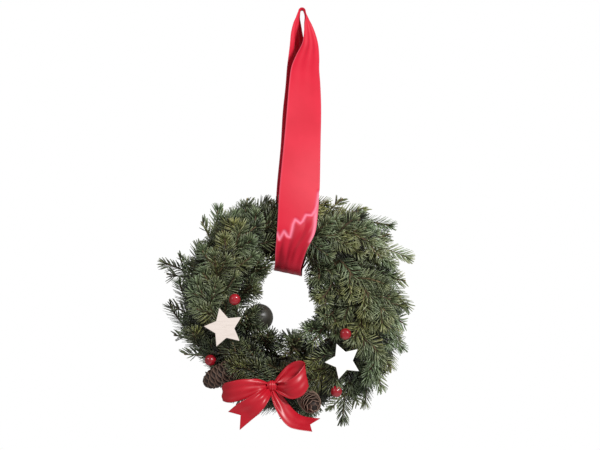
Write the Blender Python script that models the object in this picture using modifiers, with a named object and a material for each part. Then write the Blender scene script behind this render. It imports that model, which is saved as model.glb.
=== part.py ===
"""A small christmas wreath, in metres, +Z up, its front facing -Y.

Fir sprays are bound on a straw ring, all laid clockwise as seen from the front. The ring
carries two wooden stars, berries, cones, a ball and a satin bow, and hangs in a loop of
broad satin ribbon. The origin is the inside top of that loop, where it rests on its hook.
"""
import itertools
import math
import random

import bmesh
import bpy
import numpy as np
from mathutils import Matrix, Vector
from mathutils.bvhtree import BVHTree

MM = 0.001

# The straw ring and what binds the sprays on it
RING_CENTRE = Vector((-0.0165, 0.0, -0.342))
RING_RADIUS = 80 * MM
RING_TUBE = 20 * MM
WIRE_RADIUS = 0.5 * MM
WIRE_TURNS = 15
GAP = 0.3 * MM

# Fir twigs and needles
STEM_RADIUS = 1.75 * MM
SHOOT_RADIUS = 1.5 * MM
END_RADIUS = 1.3 * MM
BUTT_LENGTH = 17 * MM
TIP_OVERHANG = 8 * MM
LEAVING_SHARE = 0.25
STEM_RIDE = RING_TUBE + 2 * GAP + STEM_RADIUS
WIRE_RIDE = STEM_RIDE + STEM_RADIUS + 1.5 * GAP + WIRE_RADIUS
NEEDLE_LENGTH = 16 * MM
NEEDLE_WIDTH = 1.7 * MM
NEEDLE_THICKNESS = 1.1 * MM
NEEDLE_STEP = 9.0 * MM
TIP_NEEDLES = 2
GOLDEN_ANGLE = math.radians(137.5)
CLEARANCE = 0.45 * MM
NEAR_TOUCH = 0.0003 * MM
NUDGE = 0.015 * MM
NUDGE_TRIES = 8
FLAT_ANGLE = math.radians(0.4)

# Ribbons
RIBBON_THICKNESS = 0.8 * MM
LOOP_INNER_RADIUS = 2.7 * MM

# Ornaments: clock angle on the wreath, distance from its centre, height before its middle
STAR_THICKNESS = 4.5 * MM
STAR_INNER_SHARE = 0.51
STARS = {
    "star_left": dict(clock=251.7, reach=75, forward=52, radius=22.7, turn=13.8),
    "star_right": dict(clock=134.2, reach=87.6, forward=52, radius=20.9, turn=21.5),
}
BERRY_RADIUS = 6.5 * MM
BERRIES = {
    "berry_upper_left": (277.6, 60.0, 44),
    "berry_lower_left": (234.7, 108.0, 27),
    "berry_upper_right": (115.1, 72.2, 50),
    "berry_lower_right": (150.2, 111.3, 38),
}
BALL_RADIUS = 15.8 * MM
BALL_PLACE = (246.0, 35.5, 14)
CONES = {
    "cone_left": dict(base=(220.5, 91, 33), tip=(226.6, 130, 26), radius=12.0),
    "cone_right": dict(base=(169.0, 104, 24), tip=(165.0, 117.5, 52), radius=11.5),
}
PICK_RADIUS = 0.8 * MM
MOVED_SEATS = {"star_left": (252, -32), "berry_upper_right": (109, -25)}
KNOT_PLACE = Vector((-33.8, -51.0, -431.0)) * MM

COLOURS = {
    "fir_green": ((0.055, 0.095, 0.045), 0.55, 0.0),
    "straw": ((0.45, 0.33, 0.14), 0.85, 0.0),
    "wire_green": ((0.03, 0.06, 0.03), 0.4, 0.6),
    "satin_red": ((0.68, 0.02, 0.05), 0.35, 0.0),
    "pale_wood": ((0.86, 0.78, 0.70), 0.7, 0.0),
    "berry_red": ((0.45, 0.01, 0.02), 0.15, 0.0),
    "cone_brown": ((0.09, 0.045, 0.03), 0.75, 0.0),
    "ball_grey": ((0.10, 0.09, 0.07), 0.5, 0.0),
}

# Each spray: wire turn that holds it, its row angle round the tube (0 front, 90 outer side), then
# its tip's clock angle, distance from the ring's centre and height before its middle. The outer
# rows' distances count the last needles, which stand over the twig's end by TIP_OVERHANG
OUTER_SPRAYS = [
    (14, 60, 20, 131, 20), (0, 60, 37, 143, 24), (0, 110, 52, 157, 6), (1, 60, 68, 156, 16),
    (2, 60, 90, 144, 24), (3, 60, 110, 146, 16), (3, 110, 120, 146, -2),
    (4, 60, 131, 149, 14), (4, 110, 141.5, 152, 2), (5, 60, 154, 153, 12), (6, 60, 178, 136, 10),
    (6, 110, 194, 132, 2), (7, 60, 212, 121, 8), (8, 110, 238, 121, 0), (9, 60, 254, 129, 18),
    (9, 110, 268.5, 143, 6), (10, 60, 281, 134, 20), (11, 110, 288.5, 157, 6), (11, 60, 303, 130, 22),
    (12, 60, 323.5, 143, 16), (12, 110, 335, 133, 2), (13, 60, 348, 128, 14),
]
FRONT_SPRAYS = [
    (13, 0, 356, 117, 38), (0, 0, 45, 126, 44), (2, 0, 95, 116, 46), (3, 0, 119, 99, 46),
    (5, 0, 162, 96, 34), (7, 0, 208, 92, 32), (8, 0, 235, 84, 34), (10, 0, 284, 106, 40),
    (11, 0, 305, 100, 48), (12, 0, 330, 104, 46),
]
INNER_SPRAYS = [
    (1, -60, 50, 46, 28), (2, -60, 78, 38, 34), (3, -60, 108, 45, 40), (4, -60, 140, 36, 34),
    (6, -60, 176, 42, 46), (8, -60, 212, 43, 32), (9, -60, 256, 48, 40), (11, -60, 300, 45, 30),
    (12, -60, 332, 50, 32),
]


def clear_scene():
    for item in list(bpy.data.objects):
        bpy.data.objects.remove(item, do_unlink=True)


def new_collection(name):
    collection = bpy.data.collections.new(name)
    bpy.context.scene.collection.children.link(collection)
    return collection


def make_materials():
    for name, (colour, roughness, metallic) in COLOURS.items():
        material = bpy.data.materials.new(name)
        material.use_nodes = True
        shader = material.node_tree.nodes["Principled BSDF"]
        shader.inputs["Base Color"].default_value = (*colour, 1.0)
        shader.inputs["Roughness"].default_value = roughness
        shader.inputs["Metallic"].default_value = metallic


def wreath_point(clock, reach, forward):
    """A place on the wreath: clock angle in degrees, reach and forward in metres"""
    angle = math.radians(clock)
    return RING_CENTRE + Vector((reach * math.sin(angle), -forward, reach * math.cos(angle)))


def tube_point(clock, row, ride):
    """A place round the ring's tube, at the distance ride from its centreline"""
    angle = math.radians(row)
    return wreath_point(clock, RING_RADIUS + ride * math.sin(angle), ride * math.cos(angle))


def tube_normal(clock, row):
    return (tube_point(clock, row, 1.0) - tube_point(clock, row, 0.0)).normalized()


def frond_facing(clock, row):
    """The way a spray's flat side faces: off the ring, and more towards the front"""
    return (tube_normal(clock, row) + Vector((0, -1.5, 0))).normalized()


def clockwise(clock):
    angle = math.radians(clock)
    return Vector((math.cos(angle), 0.0, -math.sin(angle)))


def add_object(name, mesh, material, collection):
    item = bpy.data.objects.new(name, mesh)
    mesh.materials.clear()
    mesh.materials.append(bpy.data.materials[material])
    collection.objects.link(item)
    return item


def from_bmesh(name, shape, material, collection):
    mesh = bpy.data.meshes.new(name)
    shape.to_mesh(mesh)
    shape.free()
    return add_object(name, mesh, material, collection)


def evaluated_mesh(item):
    graph = bpy.context.evaluated_depsgraph_get()
    return bpy.data.meshes.new_from_object(item.evaluated_get(graph))


def weld(mesh, distance=0.002 * MM):
    shape = bmesh.new()
    shape.from_mesh(mesh)
    bmesh.ops.remove_doubles(shape, verts=shape.verts, dist=distance)
    bmesh.ops.dissolve_degenerate(shape, edges=shape.edges, dist=distance)
    bmesh.ops.recalc_face_normals(shape, faces=shape.faces)
    shape.to_mesh(mesh)
    shape.free()


def tube(name, points, radii, material, collection, sides_step=0):
    """A closed tube with its ends capped, swept along the points as a curve"""
    curve = bpy.data.curves.new(name, "CURVE")
    curve.dimensions = "3D"
    curve.bevel_depth = 1.0
    curve.bevel_resolution = sides_step
    curve.use_fill_caps = True
    spline = curve.splines.new("POLY")
    spline.points.add(len(points) - 1)
    for point, place, radius in zip(spline.points, points, radii):
        point.co = (*place, 1.0)
        point.radius = radius
    item = bpy.data.objects.new(name + "_curve", curve)
    collection.objects.link(item)
    mesh = evaluated_mesh(item)
    weld(mesh)
    bpy.data.objects.remove(item)
    bpy.data.curves.remove(curve)
    mesh.name = name
    return add_object(name, mesh, material, collection)


def largest_body(shape):
    """Keeps the biggest connected body and drops the loose scraps of a union"""
    groups = []
    unseen = set(shape.verts)
    while unseen:
        group = set()
        front = [unseen.pop()]
        while front:
            vertex = front.pop()
            group.add(vertex)
            for edge in vertex.link_edges:
                other = edge.other_vert(vertex)
                if other in unseen:
                    unseen.discard(other)
                    front.append(other)
        groups.append(group)
    groups.sort(key=len, reverse=True)
    scraps = [vertex for group in groups[1:] for vertex in group]
    bmesh.ops.delete(shape, geom=scraps, context="VERTS")


def is_sound(mesh):
    """Closed and facing out, and still closed once points that all but touch are one"""
    shape = bmesh.new()
    shape.from_mesh(mesh)
    sound = shape.calc_volume(signed=True) > 0 and all(edge.is_manifold for edge in shape.edges)
    bmesh.ops.remove_doubles(shape, verts=shape.verts, dist=NEAR_TOUCH)
    sound = sound and all(edge.is_manifold for edge in shape.edges)
    shape.free()
    return sound


def fuse(body, pieces, collection):
    """Joins the pieces to the body by one Boolean union and removes them. Where the result all
    but touches itself, the pieces are nudged and joined again"""
    repeats = bpy.data.collections.new(body.name + "_repeats")
    bpy.context.scene.collection.children.link(repeats)
    for piece in pieces:
        collection.objects.unlink(piece)
        repeats.objects.link(piece)
    for attempt in range(NUDGE_TRIES):
        union = body.modifiers.new("union", "BOOLEAN")
        union.operation = "UNION"
        union.operand_type = "COLLECTION"
        union.collection = repeats
        union.solver = "MANIFOLD"
        mesh = evaluated_mesh(body)
        body.modifiers.clear()
        shape = bmesh.new()
        shape.from_mesh(mesh)
        largest_body(shape)
        bmesh.ops.dissolve_limit(shape, angle_limit=FLAT_ANGLE, verts=shape.verts, edges=shape.edges)
        bmesh.ops.triangulate(shape, faces=shape.faces)
        shape.to_mesh(mesh)
        shape.free()
        if is_sound(mesh):
            break
        for order, piece in enumerate(pieces):
            angle = order + attempt
            piece.location += Vector((math.cos(angle), math.sin(2 * angle), math.sin(angle))) * NUDGE
        bpy.context.view_layer.update()
    else:
        print("unsound", body.name)
    body.data = mesh
    for piece in list(repeats.objects):
        bpy.data.objects.remove(piece)
    bpy.data.collections.remove(repeats)
    return body


class Fixed:
    """The solids that twigs and needles are kept clear of: the straw ring, and all the rest"""

    def __init__(self, ring, others):
        self.ring = self.surfaces([ring])
        self.others = self.surfaces(others)

    def surfaces(self, items):
        vertices = []
        faces = []
        for item in items:
            mesh = evaluated_mesh(item)
            first = len(vertices)
            vertices += [item.matrix_world @ vertex.co for vertex in mesh.vertices]
            faces += [[first + index for index in face.vertices] for face in mesh.polygons]
        return BVHTree.FromPolygons(vertices, faces)

    def clear_of(self, start, end, margin, off_ring=0.0):
        """True where the rod keeps its margin; off_ring is the share of it that may lie on the ring"""
        steps = max(2, math.ceil((end - start).length / (1.2 * MM)))
        for step in range(steps + 1):
            place = start.lerp(end, step / steps)
            if self.others.find_nearest(place, margin)[0] is not None:
                return False
            if step >= off_ring * steps and self.ring.find_nearest(place, margin)[0] is not None:
                return False
        return True


class Rods:
    """Every twig segment and needle placed so far, each with its radius and its spray"""

    def __init__(self, room):
        self.start = np.zeros((room, 3))
        self.end = np.zeros((room, 3))
        self.radius = np.zeros(room)
        self.owner = np.zeros(room, int)
        self.count = 0

    def add(self, start, end, radius, owner):
        self.start[self.count] = start
        self.end[self.count] = end
        self.radius[self.count] = radius
        self.owner[self.count] = owner
        self.count += 1

    def gaps(self, start, end, radius):
        """Room between one rod and each of the others, by their nearest points"""
        start, end = np.array(start), np.array(end)
        starts = self.start[:self.count]
        along = end - start
        runs = self.end[:self.count] - starts
        back = start - starts
        a = along @ along
        e = (runs * runs).sum(axis=1)
        b = runs @ along
        c = back @ along
        f = (runs * back).sum(axis=1)
        cross = a * e - b * b
        s = np.clip((b * f - c * e) / np.where(cross > 1e-18, cross, 1.0), 0, 1)
        t = np.clip((b * s + f) / e, 0, 1)
        s = np.clip((b * t - c) / a, 0, 1)
        apart = (start + s[:, None] * along) - (starts + t[:, None] * runs)
        return np.linalg.norm(apart, axis=1) - self.radius[:self.count] - radius


def straw_ring(collection):
    bpy.ops.mesh.primitive_torus_add(
        major_segments=26, minor_segments=12, major_radius=RING_RADIUS, minor_radius=RING_TUBE,
        location=RING_CENTRE, rotation=(math.pi / 2, 0, 0))
    ring = bpy.context.object
    for owner in list(ring.users_collection):
        owner.objects.unlink(ring)
    collection.objects.link(ring)
    ring.name = "straw_ring"
    ring.data.materials.append(bpy.data.materials["straw"])
    ring.data.shade_smooth()
    return ring


def turn_clock(turn, row):
    """Clock angle at which a turn of the binding wire crosses a row of the tube"""
    return (turn + row / 360) * 360 / WIRE_TURNS


def binding_wire(collection):
    """One wire wound round the ring: over the stems at the rows, tight to the straw behind"""
    tight = RING_TUBE / math.cos(math.radians(22.5)) + 1.5 * GAP + WIRE_RADIUS
    turn = [(-60, WIRE_RIDE), (0, WIRE_RIDE), (60, WIRE_RIDE), (110, WIRE_RIDE),
            (150, tight), (195, tight), (240, tight), (273, tight)]
    points = [tube_point(turn_clock(count, row), row, ride)
              for count in range(WIRE_TURNS) for row, ride in turn]
    return tube("binding_wire", points[:-1], [WIRE_RADIUS] * (len(points) - 1), "wire_green", collection)


def smooth_route(keys, step_count):
    """Points along a Catmull-Rom curve through the keys, which are plain tuples"""
    keys = [np.array(key, float) for key in keys]
    route = []
    for index in range(len(keys) - 1):
        before = keys[max(index - 1, 0)]
        first, second = keys[index], keys[index + 1]
        after = keys[min(index + 2, len(keys) - 1)]
        for step in range(step_count):
            t = step / step_count
            route.append(0.5 * (2 * first + (second - before) * t
                                + (2 * before - 5 * first + 4 * second - after) * t ** 2
                                + (3 * first - before - 3 * second + after) * t ** 3))
    route.append(keys[-1])
    return route


def strip(name, stations, material, collection, closed=False, notch=0.0):
    """A ribbon lofted across its stations: x, forward, z, width in mm and its turn in degrees,
    then the lean of its width from level to upright"""
    shape = bmesh.new()
    rows = []
    for number, (x, forward, z, width, turn, lean) in enumerate(stations):
        yaw, pitch = math.radians(turn), math.radians(lean)
        across = Vector((math.cos(yaw) * math.cos(pitch), math.sin(yaw) * math.cos(pitch), math.sin(pitch)))
        middle = Vector((x, -forward, z)) * MM
        row = []
        for share in (-0.5, 0.0, 0.5):
            place = middle + across * width * share * MM
            if notch and number == len(stations) - 1 and share == 0.0:
                before = rows[-1][1].co
                place = middle - (middle - before).normalized() * notch
            row.append(shape.verts.new(place))
        rows.append(row)
    count = len(rows)
    for number in range(count if closed else count - 1):
        here, there = rows[number], rows[(number + 1) % count]
        for side in (0, 1):
            shape.faces.new((here[side], here[side + 1], there[side + 1], there[side]))
    item = from_bmesh(name, shape, material, collection)
    thick = item.modifiers.new("thickness", "SOLIDIFY")
    thick.thickness = RIBBON_THICKNESS
    thick.offset = 0.0
    thick.use_even_offset = True
    item.data.shade_smooth()
    return item


def hanging_ribbon(collection):
    """The closed loop: up from the hook's right side it is the front layer, then it turns
    under the ring and climbs behind it. Each key is x, forward, z, width, turn"""
    arch = LOOP_INNER_RADIUS / MM + RIBBON_THICKNESS / MM / 2
    front = [
        (arch, 0, -2.7, 12, 90), (5.0, 0.3, -9, 14, 80), (6.4, 1.5, -17, 20, 66), (8.2, 3, -28, 27, 60),
        (9.0, 5.5, -41, 33, 56), (6.5, 8.5, -55, 38, 46), (3.8, 12, -70, 42, 40), (3.2, 17, -90, 44, 35),
        (2.4, 23, -120, 46, 31), (0.2, 30, -160, 47, 26), (-2.9, 40, -212, 48, 18), (-4.8, 45, -242, 46, 12),
        (-7.1, 48.5, -260, 43, 5), (-12.4, 49, -278, 35, 0), (-15.8, 44, -296, 30, 0),
        (-16.6, 33, -304.5, 32, 0), (-17, 12, -307, 34, 0), (-17, -8, -306.5, 36, 0),
    ]
    back = [
        (-16.4, -18.5, -298, 39, 0), (-13, -23.1, -275, 44, 0), (-10, -23.1, -248, 47, 4),
        (-6.8, -20.5, -212, 47, 10), (-2.8, -15.5, -160, 47, 20), (-2.0, -11, -120, 46, 28),
        (-1.1, -8, -90, 44, 35), (-1.3, -6, -70, 42, 40), (-2.0, -4.2, -55, 38, 46), (-3.8, -3, -41, 33, 56),
        (-4.9, -2, -28, 27, 60), (-4.9, -1, -17, 20, 66), (-4.3, -0.3, -9, 14, 80), (-arch, 0, -2.7, 12, 90),
    ]
    route = [tuple(point) + (0.0,) for point in smooth_route(front + back, 2)]
    top = [(-arch * math.cos(angle), 0, -2.7 + arch * math.sin(angle), 12, 90, 0)
           for angle in (math.pi * step / 8 for step in range(1, 8))]
    return strip("hanging_ribbon", route + top, "satin_red", collection, closed=True)


def bow(collection):
    """One ribbon tied in a bow: two loops, a knot and two tails with a swallow-tail cut"""
    left_loop = [
        (-37, 50.5, -431, 7, 0, 90), (-49, 57.5, -431, 17, 0, 90), (-66, 62, -434, 22.5, 0, 88),
        (-79, 61, -436.5, 24, 0, 86), (-87.6, 55, -437.5, 22.5, 0, 86), (-88.6, 50, -437.5, 22, 0, 86),
        (-81, 44.5, -437, 23, 0, 86), (-66, 43, -434.5, 21, 0, 88), (-49, 45.5, -432, 14, 0, 90),
        (-37, 49, -431, 6, 0, 90),
    ]
    right_loop = [
        (-31, 51, -431, 7, 0, 96), (-23, 58, -433, 15, -6, 100), (-13.5, 62.5, -434, 21, -8, 104),
        (-3, 61.5, -429, 24, -8, 106), (3.7, 56, -421, 24.5, -6, 102), (4.4, 50.5, -417, 24.5, 0, 98),
        (-3, 45, -414.5, 23, 4, 96), (-13.5, 43.5, -417.5, 20, 4, 100), (-24, 46, -425, 13, 2, 104),
        (-31, 49.5, -430, 6, 0, 96),
    ]
    left_tail = [
        (-36, 52, -433.5, 7, 0, -40), (-43, 65.5, -440.5, 15, 0, -43), (-52.5, 69, -449.5, 21, 0, -48),
        (-64, 63, -459.5, 24.5, 0, -55), (-74.5, 56, -469, 24.5, 0, -57),
    ]
    right_tail = [
        (-33, 52, -434.5, 7, 35, 20), (-28, 57, -445, 14, 34, 38), (-20, 58.5, -457.4, 20, 50, 33),
        (-11.7, 57.5, -466.8, 23, 58, 36), (-2.9, 54, -472.6, 24.5, 62, 31),
        (14.5, 50, -476.4, 24.5, 65, 28),
    ]
    strips = [
        strip("left_loop", smooth_route(left_loop, 2), "satin_red", collection),
        strip("right_loop", smooth_route(right_loop, 2), "satin_red", collection),
        strip("left_tail", smooth_route(left_tail, 2), "satin_red", collection, notch=10 * MM),
        strip("right_tail", smooth_route(right_tail, 2), "satin_red", collection, notch=7 * MM),
    ]
    knot_shape = bmesh.new()
    bmesh.ops.create_uvsphere(knot_shape, u_segments=10, v_segments=8, radius=1.0)
    bmesh.ops.scale(knot_shape, verts=knot_shape.verts, vec=Vector((6.5, 6.0, 8.0)) * MM)
    bmesh.ops.translate(knot_shape, verts=knot_shape.verts, vec=KNOT_PLACE)
    knot = from_bmesh("bow", knot_shape, "satin_red", collection)
    pieces = []
    for item in strips:
        mesh = evaluated_mesh(item)
        weld(mesh)
        pieces.append(add_object(item.name + "_solid", mesh, "satin_red", collection))
        bpy.data.objects.remove(item)
    return fuse(knot, pieces, collection)


def star(name, clock, reach, forward, radius, turn, collection):
    """A flat five-pointed star sawn from thin wood, its front face at the height given"""
    curve = bpy.data.curves.new(name, "CURVE")
    curve.dimensions = "2D"
    curve.fill_mode = "BOTH"
    curve.extrude = STAR_THICKNESS / 2
    spline = curve.splines.new("POLY")
    spline.points.add(9)
    spline.use_cyclic_u = True
    for number, point in enumerate(spline.points):
        size = radius * MM * (STAR_INNER_SHARE if number % 2 else 1.0)
        angle = math.radians(36 * number + 90 + turn)
        point.co = (size * math.cos(angle), size * math.sin(angle), 0, 1)
    item = bpy.data.objects.new(name + "_curve", curve)
    collection.objects.link(item)
    mesh = evaluated_mesh(item)
    weld(mesh)
    bpy.data.objects.remove(item)
    result = add_object(name, mesh, "pale_wood", collection)
    result.location = wreath_point(clock, reach * MM, forward * MM - STAR_THICKNESS / 2)
    result.rotation_euler = (math.pi / 2, 0, 0)
    return result


def pick(name, start, end, material, collection):
    """A straight wire from an ornament to the straw ring"""
    return tube(name, [start, end], [PICK_RADIUS] * 2, material, collection)


def seat_on_ring(name, place):
    """Where an ornament's wire meets the straw ring, with the gap that touching solids keep: on
    the way to the tube's middle, or beside it where that leaves a stem its room"""
    flat = Vector((place.x - RING_CENTRE.x, 0, place.z - RING_CENTRE.z)).normalized()
    aim = RING_CENTRE + flat * RING_RADIUS
    if name in MOVED_SEATS:
        aim = tube_point(*MOVED_SEATS[name], RING_TUBE * 0.5)
    ring = BVHTree.FromObject(bpy.data.objects["straw_ring"], bpy.context.evaluated_depsgraph_get())
    away = (place - aim).normalized()
    turned = bpy.data.objects["straw_ring"].matrix_world
    hit, normal = ring.ray_cast(turned.inverted() @ place, turned.inverted().to_3x3() @ -away)[:2]
    square = away.dot(turned.to_3x3() @ normal)
    return turned @ hit + away * (GAP + PICK_RADIUS * math.sqrt(1 - square ** 2)) / square


def berry(name, clock, reach, forward, collection):
    """A berry moulded on its own wire, which reaches the straw ring"""
    place = wreath_point(clock, reach * MM, forward * MM)
    shape = bmesh.new()
    bmesh.ops.create_uvsphere(shape, u_segments=9, v_segments=7, radius=BERRY_RADIUS)
    bmesh.ops.translate(shape, verts=shape.verts, vec=place)
    body = from_bmesh(name, shape, "berry_red", collection)
    body.data.shade_smooth()
    stem = pick(name + "_stem", place, seat_on_ring(name, place), "berry_red", collection)
    return fuse(body, [stem], collection)


def ball(collection):
    place = wreath_point(BALL_PLACE[0], BALL_PLACE[1] * MM, BALL_PLACE[2] * MM)
    shape = bmesh.new()
    bmesh.ops.create_uvsphere(shape, u_segments=16, v_segments=10, radius=BALL_RADIUS)
    bmesh.ops.translate(shape, verts=shape.verts, vec=place)
    body = from_bmesh("ball", shape, "ball_grey", collection)
    body.data.shade_smooth()
    seat = seat_on_ring("ball", place)
    start = place + (seat - place).normalized() * (BALL_RADIUS + GAP)
    return [body, pick("ball_pick", start, seat, "wire_green", collection)]


def cone(name, base, tip, radius, collection):
    """A closed cone: rows of broad scales, set half a scale on from row to row, raised from
    an egg-shaped body by their lips"""
    around, rows = 16, 15
    start = wreath_point(base[0], base[1] * MM, base[2] * MM)
    end = wreath_point(tip[0], tip[1] * MM, tip[2] * MM)
    length = (end - start).length
    shape = bmesh.new()
    rings = []
    for row in range(rows):
        along = (row + 0.5) / rows
        swell = math.sin(math.pi * (0.10 + 0.80 * along)) ** 0.6 * (1.0 - 0.25 * along)
        is_lip = row % 2
        ring = []
        for step in range(around):
            raised = (step + 2 * (row // 2 % 2)) % 4 in (0, 3) if is_lip else False
            relief = 1.0 if raised else (0.93 if is_lip else 0.84)
            angle = 2 * math.pi * (step + 0.5) / around
            size = radius * MM * swell * relief
            push = 0.25 * length / rows if raised else 0.0
            ring.append(shape.verts.new((size * math.cos(angle), size * math.sin(angle),
                                         along * length + push)))
        rings.append(ring)
    for lower, upper in zip(rings, rings[1:]):
        for step in range(around):
            after = (step + 1) % around
            shape.faces.new((lower[step], lower[after], upper[after], upper[step]))
    for ring, height in ((rings[0], 0.0), (rings[-1], length)):
        middle = shape.verts.new((0, 0, height))
        for step in range(around):
            shape.faces.new((ring[step], ring[(step + 1) % around], middle))
    bmesh.ops.recalc_face_normals(shape, faces=shape.faces)
    turn = Vector((0, 0, 1)).rotation_difference((end - start).normalized()).to_matrix().to_4x4()
    bmesh.ops.transform(shape, verts=shape.verts, matrix=Matrix.Translation(start) @ turn)
    body = from_bmesh(name, shape, "cone_brown", collection)
    seat = seat_on_ring(name, start)
    foot = BVHTree.FromObject(body, bpy.context.evaluated_depsgraph_get()).find_nearest(seat)[0]
    seat = seat_on_ring(name, foot)
    foot += (seat - foot).normalized() * (GAP + PICK_RADIUS * 0.2)
    return [body, pick(name + "_pick", foot, seat, "wire_green", collection)]


def bezier(first, second, third, share):
    return first.lerp(second, share).lerp(second.lerp(third, share), share)


def stem_routes(turn, row, tip_clock, tip_reach, tip_forward):
    """Routes that a spray's twig may take: along the ring under its wire, then free to its tip,
    each bowed further off the ring than the one before"""
    clock = turn_clock(turn, row)
    spread = math.degrees(BUTT_LENGTH / 2 / (RING_RADIUS + RING_TUBE * math.sin(math.radians(row))))
    shares = (-1, 0, 1) if row < 0 else (-1, 1)
    butt = [tube_point(clock + share * spread, row, STEM_RIDE) for share in shares]
    overhang = TIP_OVERHANG if row > 0 else 0.0
    tip = wreath_point(tip_clock, tip_reach * MM - overhang, tip_forward * MM)
    leave = butt[-1]
    span = (tip - leave).length
    ahead = clockwise(clock + spread)
    away = tube_normal(clock, row)
    for lift, sway, bow_out in itertools.product(
            (0, -4, 4, -8, 8), (0.0, 0.08, -0.08, 0.16, -0.16), (0.14, 0.20, 0.27, 0.35, 0.08, 0.44)):
        side = ahead.cross(away) * sway * span
        lead = leave + ahead * 0.46 * span + away * bow_out * span + side
        end = tip + Vector((0, -lift * MM, 0))
        yield butt, [bezier(leave, lead, end, share) for share in (0.33, 0.68, 1.0)]


def place_stem(number, spray, fixed, rods):
    """The first route that is clear of all that is placed already"""
    choice = None
    for butt, free in stem_routes(*spray):
        points = butt + free
        radii = [STEM_RADIUS + (END_RADIUS - STEM_RADIUS) * index / (len(points) - 1)
                 for index in range(len(points))]
        worst = min((rods.gaps(points[index], points[index + 1], radii[index]).min(initial=1.0)
                     for index in range(len(points) - 1)))
        for index in range(len(butt), len(points)):
            margin = radii[index] + CLEARANCE
            on_ring = LEAVING_SHARE if index == len(butt) else 0.0
            if not fixed.clear_of(points[index - 1], points[index], margin, on_ring):
                worst = min(worst, -STEM_RADIUS)
        if choice is None or worst > choice[0]:
            choice = (worst, points, radii)
        if worst > CLEARANCE:
            break
    worst, points, radii = choice
    if worst < GAP:
        print("tight twig", number, spray, round(worst / MM, 2))
    for index in range(len(points) - 1):
        rods.add(points[index], points[index + 1], radii[index], number)
    return points, radii


def polyline(points, share):
    """Place and direction at a share of a route's length"""
    lengths = [(after - before).length for before, after in zip(points, points[1:])]
    left = share * sum(lengths)
    for index, length in enumerate(lengths):
        if left <= length or index == len(lengths) - 1:
            ahead = (points[index + 1] - points[index]).normalized()
            return points[index] + ahead * left, ahead
        left -= length


def side_shoots(number, points, facing, shares, fixed, rods):
    """Side twigs, left and right in turn, swung or lifted until they are clear"""
    shoots = []
    for order, (share, length) in enumerate(shares):
        root, ahead = polyline(points, share)
        side = ahead.cross(facing).normalized() * (1 if order % 2 else -1)
        for swing, lift in ((42, 0.1), (34, 0.1), (50, 0.1), (40, 0.35), (40, -0.2), (30, 0.5), (55, 0.4)):
            angle = math.radians(swing)
            heading = (ahead * math.cos(angle) + side * math.sin(angle) + facing * lift).normalized()
            bend = (heading + ahead * 0.35).normalized()
            end = root + (heading + bend) * length * 0.5
            others = rods.owner[:rods.count] != number
            room = rods.gaps(root, end, SHOOT_RADIUS)[others].min(initial=1.0)
            if room > CLEARANCE and fixed.clear_of(root, end, SHOOT_RADIUS + CLEARANCE):
                shoots.append([root, end])
                break
    for shoot in shoots:
        for start, end in zip(shoot, shoot[1:]):
            rods.add(start, end, SHOOT_RADIUS, number)
    return shoots


def needle(name, root, heading, flat, length, collection):
    """A three-sided flat needle, its root at the twig's centre"""
    shape = bmesh.new()
    bmesh.ops.create_cone(shape, cap_ends=True, segments=3, radius1=1.0, radius2=0.0, depth=1.0)
    thick = heading.cross(flat).normalized()
    turn = Matrix((flat.normalized(), thick, heading)).transposed().to_4x4()
    size = Matrix.Diagonal((NEEDLE_WIDTH / 1.73, NEEDLE_THICKNESS / 1.5, length, 1.0))
    lift = Matrix.Translation((0, 0, 0.5))
    bmesh.ops.transform(shape, verts=shape.verts, matrix=Matrix.Translation(root) @ turn @ size @ lift)
    if shape.calc_volume(signed=True) < 0:
        bmesh.ops.reverse_faces(shape, faces=shape.faces)
    return from_bmesh(name, shape, "fir_green", collection)


def needle_places(points, first_share, draw):
    """Roots along a twig, a golden angle apart, lying forward more towards its tip"""
    length = sum((after - before).length for before, after in zip(points, points[1:]))
    count = max(3, round(length * (1 - first_share) / NEEDLE_STEP))
    ahead = (points[-1] - points[-2]).normalized()
    reference = ahead.orthogonal().normalized()
    for order in range(count):
        share = first_share + (1 - first_share) * (order + 0.5) / count
        root, ahead = polyline(points, share)
        towards_tip = (share - first_share) / (1 - first_share)
        lean = math.radians(62 - 34 * towards_tip ** 2 + draw.uniform(-5, 5))
        size = NEEDLE_LENGTH * (1.0 - 0.25 * towards_tip ** 3) * draw.uniform(0.9, 1.08)
        yield root, ahead, reference, order * GOLDEN_ANGLE + draw.uniform(-0.2, 0.2), lean, size
    for order in range(TIP_NEEDLES):
        root = points[-1] - ahead * 0.8 * MM
        turn = order * 2 * math.pi / TIP_NEEDLES + draw.uniform(-0.2, 0.2)
        yield root, ahead, reference, turn, math.radians(24), NEEDLE_LENGTH * 0.72


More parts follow.
